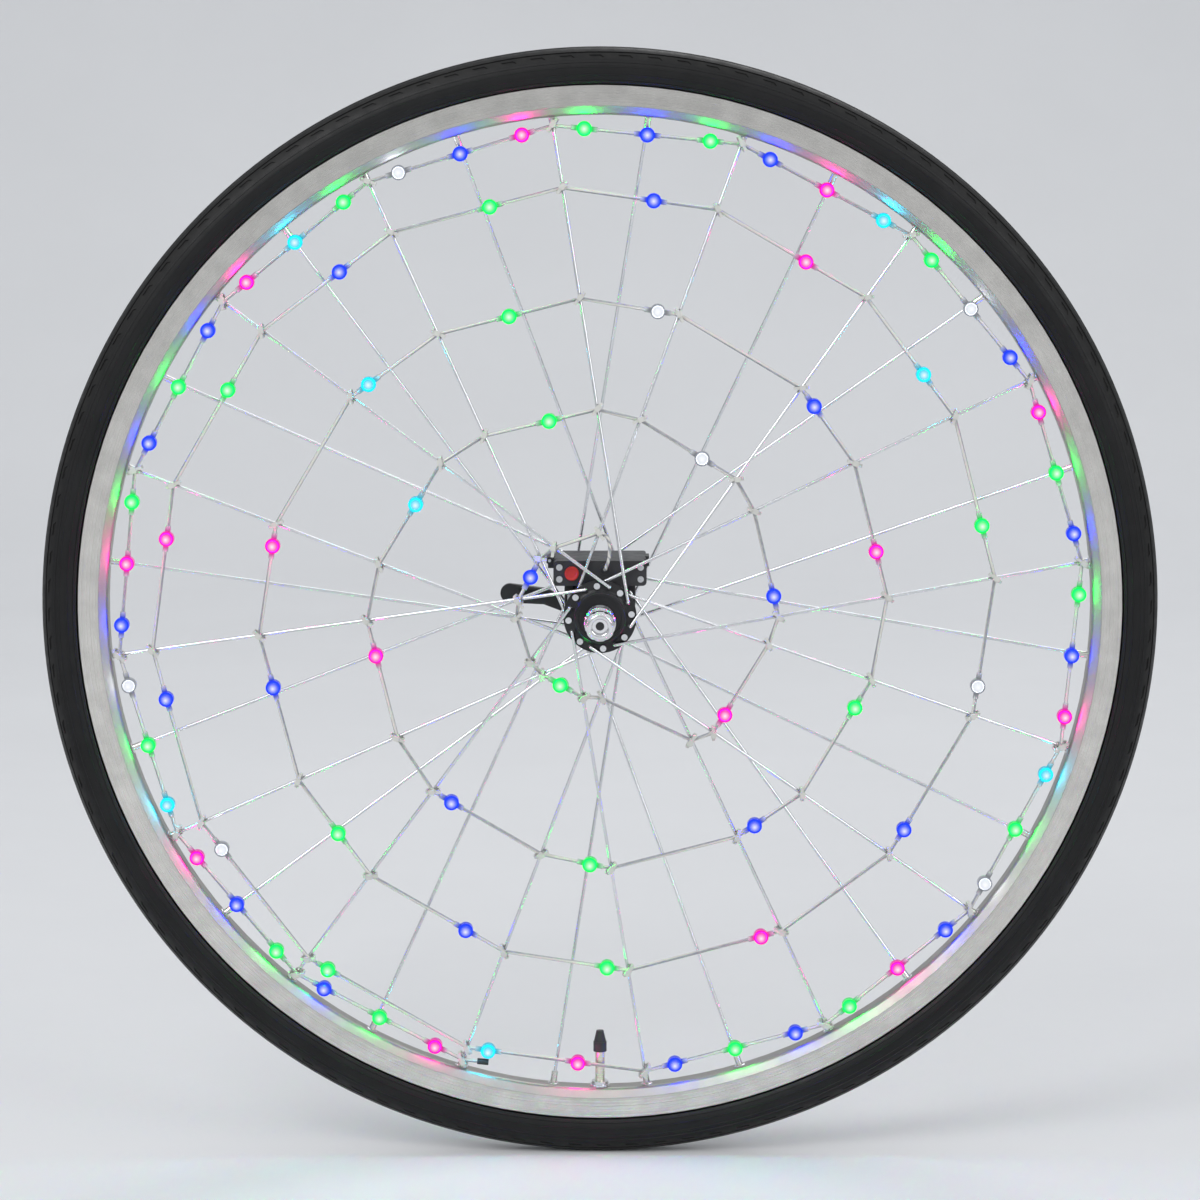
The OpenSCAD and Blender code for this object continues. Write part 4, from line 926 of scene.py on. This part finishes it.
class WHEELLIGHT_OT_pack(bpy.types.Operator):
    """Dress the battery pack and cap its push button with a dished face"""
    bl_idname = "wheel_light.pack"
    bl_label = "Dress the battery pack"

    # The cap's section: distance from the button's axis and height over its face, in millimetres
    CAP = ((0.0, 0.16), (1.2, 0.14), (2.3, 0.1), (2.9, 0.2), (3.3, 0.45), (3.7, 0.5), (4.05, 0.38),
           (4.2, 0.1), (4.2, -0.3), (0.0, -0.3))
    CAP_STEPS = 48

    def execute(self, context):
        dress("battery_case", "battery_lid", "hinge_pin", "lid_seal", "switch_cover", "cover_screws",
              "push_button", "switch_body", "control_board", "batteries", "contact_springs", "contact_plates",
              "cable_gland")
        low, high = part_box("push_button")
        middle = Vector(((low[0] + high[0]) / 2, low[1], (low[2] + high[2]) / 2))
        profile = [middle + MM * Vector((r, -rise, 0.0)) for r, rise in self.CAP]
        bm = bmesh.new()
        spin_round(bm, profile, middle, AXLE, self.CAP_STEPS, closed=False)
        close_seams(bm)
        sharpen(bm)
        piece_from(bm, "button_cap", "button_red", "button")
        return {"FINISHED"}


class WHEELLIGHT_OT_strap(bpy.types.Operator):
    """Fold the webbing strap round the hub and over the bars of the battery case"""
    bl_idname = "wheel_light.strap"
    bl_label = "Fold the strap"

    HUB_R = 15.2 * MM
    BAR = Vector((18.3 * MM, 0.0, 14.1 * MM))
    BAR_R = 1.6 * MM
    TAIL_Z = 3 * MM
    SOFT_SHARE = 0.3
    SOFT_ANGLE = math.radians(60)
    WIDTH_STEPS = 8
    THREAD_R = 0.24 * MM
    THREAD_LEN = 1.9 * MM
    THREAD_SOFT = 0.14 * MM
    ROW_INSET = 2.4 * MM
    # Places of the stitches down a tail and across its end, in millimetres
    DOWN_Z = (5.2, 7.6, 10.0, 12.4)
    OVER_Y = (-3.6, -1.2, 1.2, 3.6)
    OVER_Z = 4.3 * MM

    def execute(self, context):
        size = sizes()
        leg = self.HUB_R + size.strap_t / 2
        fold = self.BAR_R + size.strap_t / 2
        half = [polar(leg, angle) for angle in range(-90, 1, 6)]
        half += [self.BAR + polar(fold, angle) for angle in range(180, -1, -15)]
        half.append(Vector((self.BAR.x + fold, 0.0, self.TAIL_Z)))
        line = [Vector((-p.x, 0.0, p.z)) for p in reversed(half[1:])] + half
        bm = bmesh.new()
        edge_y = Vector((0.0, -size.strap_w / 2, 0.0))
        edges = line_of(bm, [p + edge_y for p in line])[1]
        for _ in range(self.WIDTH_STEPS):
            edges = extrude_lines(bm, edges, (0.0, size.strap_w / self.WIDTH_STEPS, 0.0))
        self.map_weave(bm, line)
        bmesh.ops.recalc_face_normals(bm, faces=bm.faces)
        strap = piece_from(bm, "webbing_strap", "strap_web", "wheel", "hub_strap")
        wall = strap.modifiers.new("Thickness", "SOLIDIFY")
        wall.thickness = size.strap_t
        wall.offset = 0.0
        soft = strap.modifiers.new("Soft edge", "BEVEL")
        soft.width = size.strap_t * self.SOFT_SHARE
        soft.segments = 2
        soft.limit_method = "ANGLE"
        soft.angle_limit = self.SOFT_ANGLE
        self.stitch(self.BAR.x + fold + size.strap_t / 2, size.strap_w)
        return {"FINISHED"}

    def map_weave(self, bm, line):
        """A map in metres, along the strap and over its width."""
        run = lengths_along(line)
        uv = bm.loops.layers.uv.new("Lay")
        for face in bm.faces:
            for loop in face.loops:
                flat = Vector((loop.vert.co.x, 0.0, loop.vert.co.z))
                near = min(range(len(line)), key=lambda i: (line[i] - flat).length)
                loop[uv].uv = (run[near], loop.vert.co.y)

    def stitch(self, face_x, width):
        """Two rows of thread down each tail, and one across its end."""
        row_y = width / 2 - self.ROW_INSET
        down = [(side * row_y, z * MM, 0.0) for side in (-1, 1) for z in self.DOWN_Z]
        over = [(y * MM, self.OVER_Z, math.pi / 2) for y in self.OVER_Y]
        bm = bmesh.new()
        for side in (-1, 1):
            for y, z, turn in down + over:
                place = Matrix.Translation((side * face_x, y, z)) @ Matrix.Rotation(turn, 4, "X")
                made = bmesh.ops.create_cone(
                    bm, cap_ends=True, segments=8, radius1=self.THREAD_R, radius2=self.THREAD_R,
                    depth=self.THREAD_LEN, matrix=place)["verts"]
                ends = list({edge for vert in made for edge in vert.link_edges
                             if len([face for face in edge.link_faces if len(face.verts) > 4]) == 1})
                bmesh.ops.bevel(bm, geom=ends, offset=self.THREAD_SOFT, affect="EDGES", segments=2,
                                profile=0.5, material=-1)
        piece_from(bm, "strap_thread", "strap_web", "wheel", finish="strap_thread")


class WHEELLIGHT_OT_string(bpy.types.Operator):
    """Lay the cable along its ties, and dress the ties and the cable's end"""
    bl_idname = "wheel_light.string"
    bl_label = "Lay the light string"

    BEVEL_STEPS = 3
    SIDES = 2 * (BEVEL_STEPS + 2)

    def execute(self, context):
        size = sizes()
        points = eased(cable_route(), size.cable_bend)
        bm = self.tube(context, points, size.cable_d)
        run = lengths_along(points)
        uv = bm.loops.layers.uv.new("Lay")
        bm.verts.index_update()
        for face in bm.faces:
            for loop in face.loops:
                ring, spot = divmod(loop.vert.index, self.SIDES)
                loop[uv].uv = (run[min(ring, len(run) - 1)], spot / self.SIDES)
        piece_from(bm, "string_cable", "cable_clear", "wheel", "light_string")
        dress("string_end", "cable_ties")
        return {"FINISHED"}

    def tube(self, context, points, diameter):
        """A closed round tube along the points."""
        curve = bpy.data.curves.new("string_path", "CURVE")
        curve.dimensions = "3D"
        curve.bevel_depth = diameter / 2
        curve.bevel_resolution = self.BEVEL_STEPS
        curve.use_fill_caps = True
        spline = curve.splines.new("POLY")
        spline.points.add(len(points) - 1)
        for knot, place in zip(spline.points, points):
            knot.co = (*place, 1.0)
        path = bpy.data.objects.new("string_path", curve)
        context.scene.collection.objects.link(path)
        mesh = bpy.data.meshes.new_from_object(path.evaluated_get(context.evaluated_depsgraph_get()))
        bpy.data.objects.remove(path)
        bpy.data.curves.remove(curve)
        bm = bmesh.new()
        bm.from_mesh(mesh)
        bpy.data.meshes.remove(mesh)
        return bm


class WHEELLIGHT_OT_lights(bpy.types.Operator):
    """Light the lenses, and paint the glow and colour of its lens onto each housing"""
    bl_idname = "wheel_light.lights"
    bl_label = "Light the lenses"

    def execute(self, context):
        size = sizes()
        dress("led_boards")
        spots = []
        for tint in LIGHTS:
            bm = merged_copy("lenses_" + tint)
            core = bm.verts.layers.float.new("Core")
            for group, middle in islands(bm):
                spots.append((middle, tint))
                for vert in group:
                    vert[core] = max(0.0, 1.0 - across(vert.co, middle) / (size.lens_d / 2))
            piece_from(bm, "lens_domes_" + tint, "lens_" + tint, "wheel", "lenses_" + tint)
        for tint in LIGHTS:
            self.house(tint, spots, size)
        return {"FINISHED"}

    def house(self, tint, spots, size):
        """The housings of one colour, with a painted glow that falls along the sleeves and towards the back.
        """
        bm = merged_copy("led_housings")
        glow = bm.verts.layers.float.new("Glow")
        behind = bm.verts.layers.float.new("Behind")
        sleeve = (size.led_len - size.led_d) / 2
        other = []
        for group, middle in islands(bm):
            lens, found = min(spots, key=lambda spot: (spot[0] - middle).length)
            if found != tint:
                other.extend(group)
            for vert in group:
                # Painted glow: full next to the lens, fading to nothing along the sleeve
                past = across(vert.co, lens) - size.led_d / 2
                vert[glow] = clamp(1.0 - past / sleeve)
                vert[behind] = clamp(2 * (vert.co.y - middle.y) / size.led_d)
        bmesh.ops.delete(bm, geom=other, context="VERTS")
        piece_from(bm, "light_housings_" + tint, "led_housing_clear", "wheel", "led_housings",
                   finish="lit_housing_" + tint)


class WHEELLIGHT_OT_stage(bpy.types.Operator):
    """Set the floor, the backdrop, the lights and the camera"""
    bl_idname = "wheel_light.stage"
    bl_label = "Set the stage"

    LEFT = -30.0
    FRONT = -40.0
    BEND_Y = 2.2
    BEND_R = 1.6
    BEND_STEPS = 12
    TOP = 8.0
    WORLD_LOW = (0.24, 0.245, 0.25, 1.0)
    WORLD_HIGH = (0.78, 0.80, 0.82, 1.0)
    # Name, place, width in metres and power in watts of each lamp
    LAMPS = (
        ("key_softbox", (-1.7, -2.4, 2.3), 1.8, 52.0),
        ("fill_softbox", (3.0, -3.0, 1.9), 2.2, 44.0),
        ("back_softbox", (0.6, 2.0, 2.2), 1.4, 16.0),
    )
    SENSOR_MM = 36.0
    AIM_Z = 5 * MM

    def execute(self, context):
        self.lay_sweep()
        self.light_world(context.scene)
        for name, place, width, power in self.LAMPS:
            lamp = bpy.data.lights.new(name, "AREA")
            lamp.size = width
            lamp.energy = power
            self.aim(context.scene, name, lamp, Vector(place), Vector(CENTRE))
        self.place_camera(context.scene)
        context.scene.view_settings.view_transform = "Standard"
        return {"FINISHED"}

    def lay_sweep(self):
        """Floor and backdrop in one sheet, with a round bend between them."""
        low = CAD_BOX[0][2]
        middle = Vector((self.LEFT, self.BEND_Y, low + self.BEND_R))
        profile = [Vector((self.LEFT, self.FRONT, low)), Vector((self.LEFT, self.BEND_Y, low))]
        for step in range(1, self.BEND_STEPS + 1):
            turn = step * math.pi / (2 * self.BEND_STEPS)
            profile.append(middle + self.BEND_R * Vector((0.0, math.sin(turn), -math.cos(turn))))
        profile.append(Vector((self.LEFT, self.BEND_Y + self.BEND_R, self.TOP)))
        bm = bmesh.new()
        extrude_lines(bm, line_of(bm, profile)[1], (-2 * self.LEFT, 0.0, 0.0))
        bmesh.ops.recalc_face_normals(bm, faces=bm.faces)
        object_from(bm, "studio_sweep", "studio_paper")

    def light_world(self, scene):
        """Soft light from all round, paler from above."""
        world = bpy.data.worlds.new("studio")
        world.use_nodes = True
        scene.world = world
        tree = world.node_tree
        direction = split_node(tree, tree.nodes.new("ShaderNodeTexCoord").outputs["Generated"])
        height = range_node(tree, direction[2], -0.45, 0.8)
        tone = mix_node(tree, height, self.WORLD_LOW, self.WORLD_HIGH)
        put(tree, tree.nodes["Background"].inputs["Color"], tone)

    def aim(self, scene, name, data, place, target):
        """Put a lamp or camera at a place, looking at a target."""
        holder = bpy.data.objects.new(name, data)
        turn = (target - place).to_track_quat("-Z", "Y")
        holder.matrix_world = Matrix.Translation(place) @ turn.to_matrix().to_4x4()
        scene.collection.objects.link(holder)
        return holder

    def place_camera(self, scene):
        """The camera in front of the skewer nut, a little above the axle."""
        size = sizes()
        camera = bpy.data.cameras.new("photo_camera")
        camera.sensor_width = self.SENSOR_MM
        camera.lens = size.lens_mm
        target = Vector((0.0, 0.0, self.AIM_Z))
        away = Vector((0.0, -math.cos(size.camera_lift), math.sin(size.camera_lift))) * size.camera_far
        scene.camera = self.aim(scene, "photo_camera", camera, target + away, target)


class WHEELLIGHT_PT_panel(bpy.types.Panel):
    """The wheel light's settings and steps"""
    bl_idname = "WHEELLIGHT_PT_panel"
    bl_label = "Wheel light"
    bl_space_type = "VIEW_3D"
    bl_region_type = "UI"
    bl_category = "Wheel light"

    def draw(self, context):
        layout = self.layout
        for group in (colours(), sizes()):
            box = layout.box()
            for label in group.__annotations__:
                box.prop(group, label)
        for step in STEPS:
            layout.operator(step.bl_idname)


STEPS = (WHEELLIGHT_OT_finishes, WHEELLIGHT_OT_tyre, WHEELLIGHT_OT_wheel, WHEELLIGHT_OT_hub,
         WHEELLIGHT_OT_pack, WHEELLIGHT_OT_strap, WHEELLIGHT_OT_string, WHEELLIGHT_OT_lights,
         WHEELLIGHT_OT_stage)
CLASSES = (WheelLightColours, WheelLightSizes) + STEPS + (WHEELLIGHT_PT_panel,)


def register():
    for item in CLASSES:
        bpy.utils.register_class(item)
    bpy.types.Scene.wheel_light_colours = bpy.props.PointerProperty(type=WheelLightColours)
    bpy.types.Scene.wheel_light_sizes = bpy.props.PointerProperty(type=WheelLightSizes)


def unregister():
    del bpy.types.Scene.wheel_light_sizes
    del bpy.types.Scene.wheel_light_colours
    for item in reversed(CLASSES):
        bpy.utils.unregister_class(item)


def main():
    register()
    bpy.ops.wheel_light.finishes()
    bpy.ops.wheel_light.tyre()
    bpy.ops.wheel_light.wheel()
    bpy.ops.wheel_light.hub()
    bpy.ops.wheel_light.pack()
    bpy.ops.wheel_light.strap()
    bpy.ops.wheel_light.string()
    bpy.ops.wheel_light.lights()
    bpy.ops.wheel_light.stage()


if __name__ == "__main__":
    main()
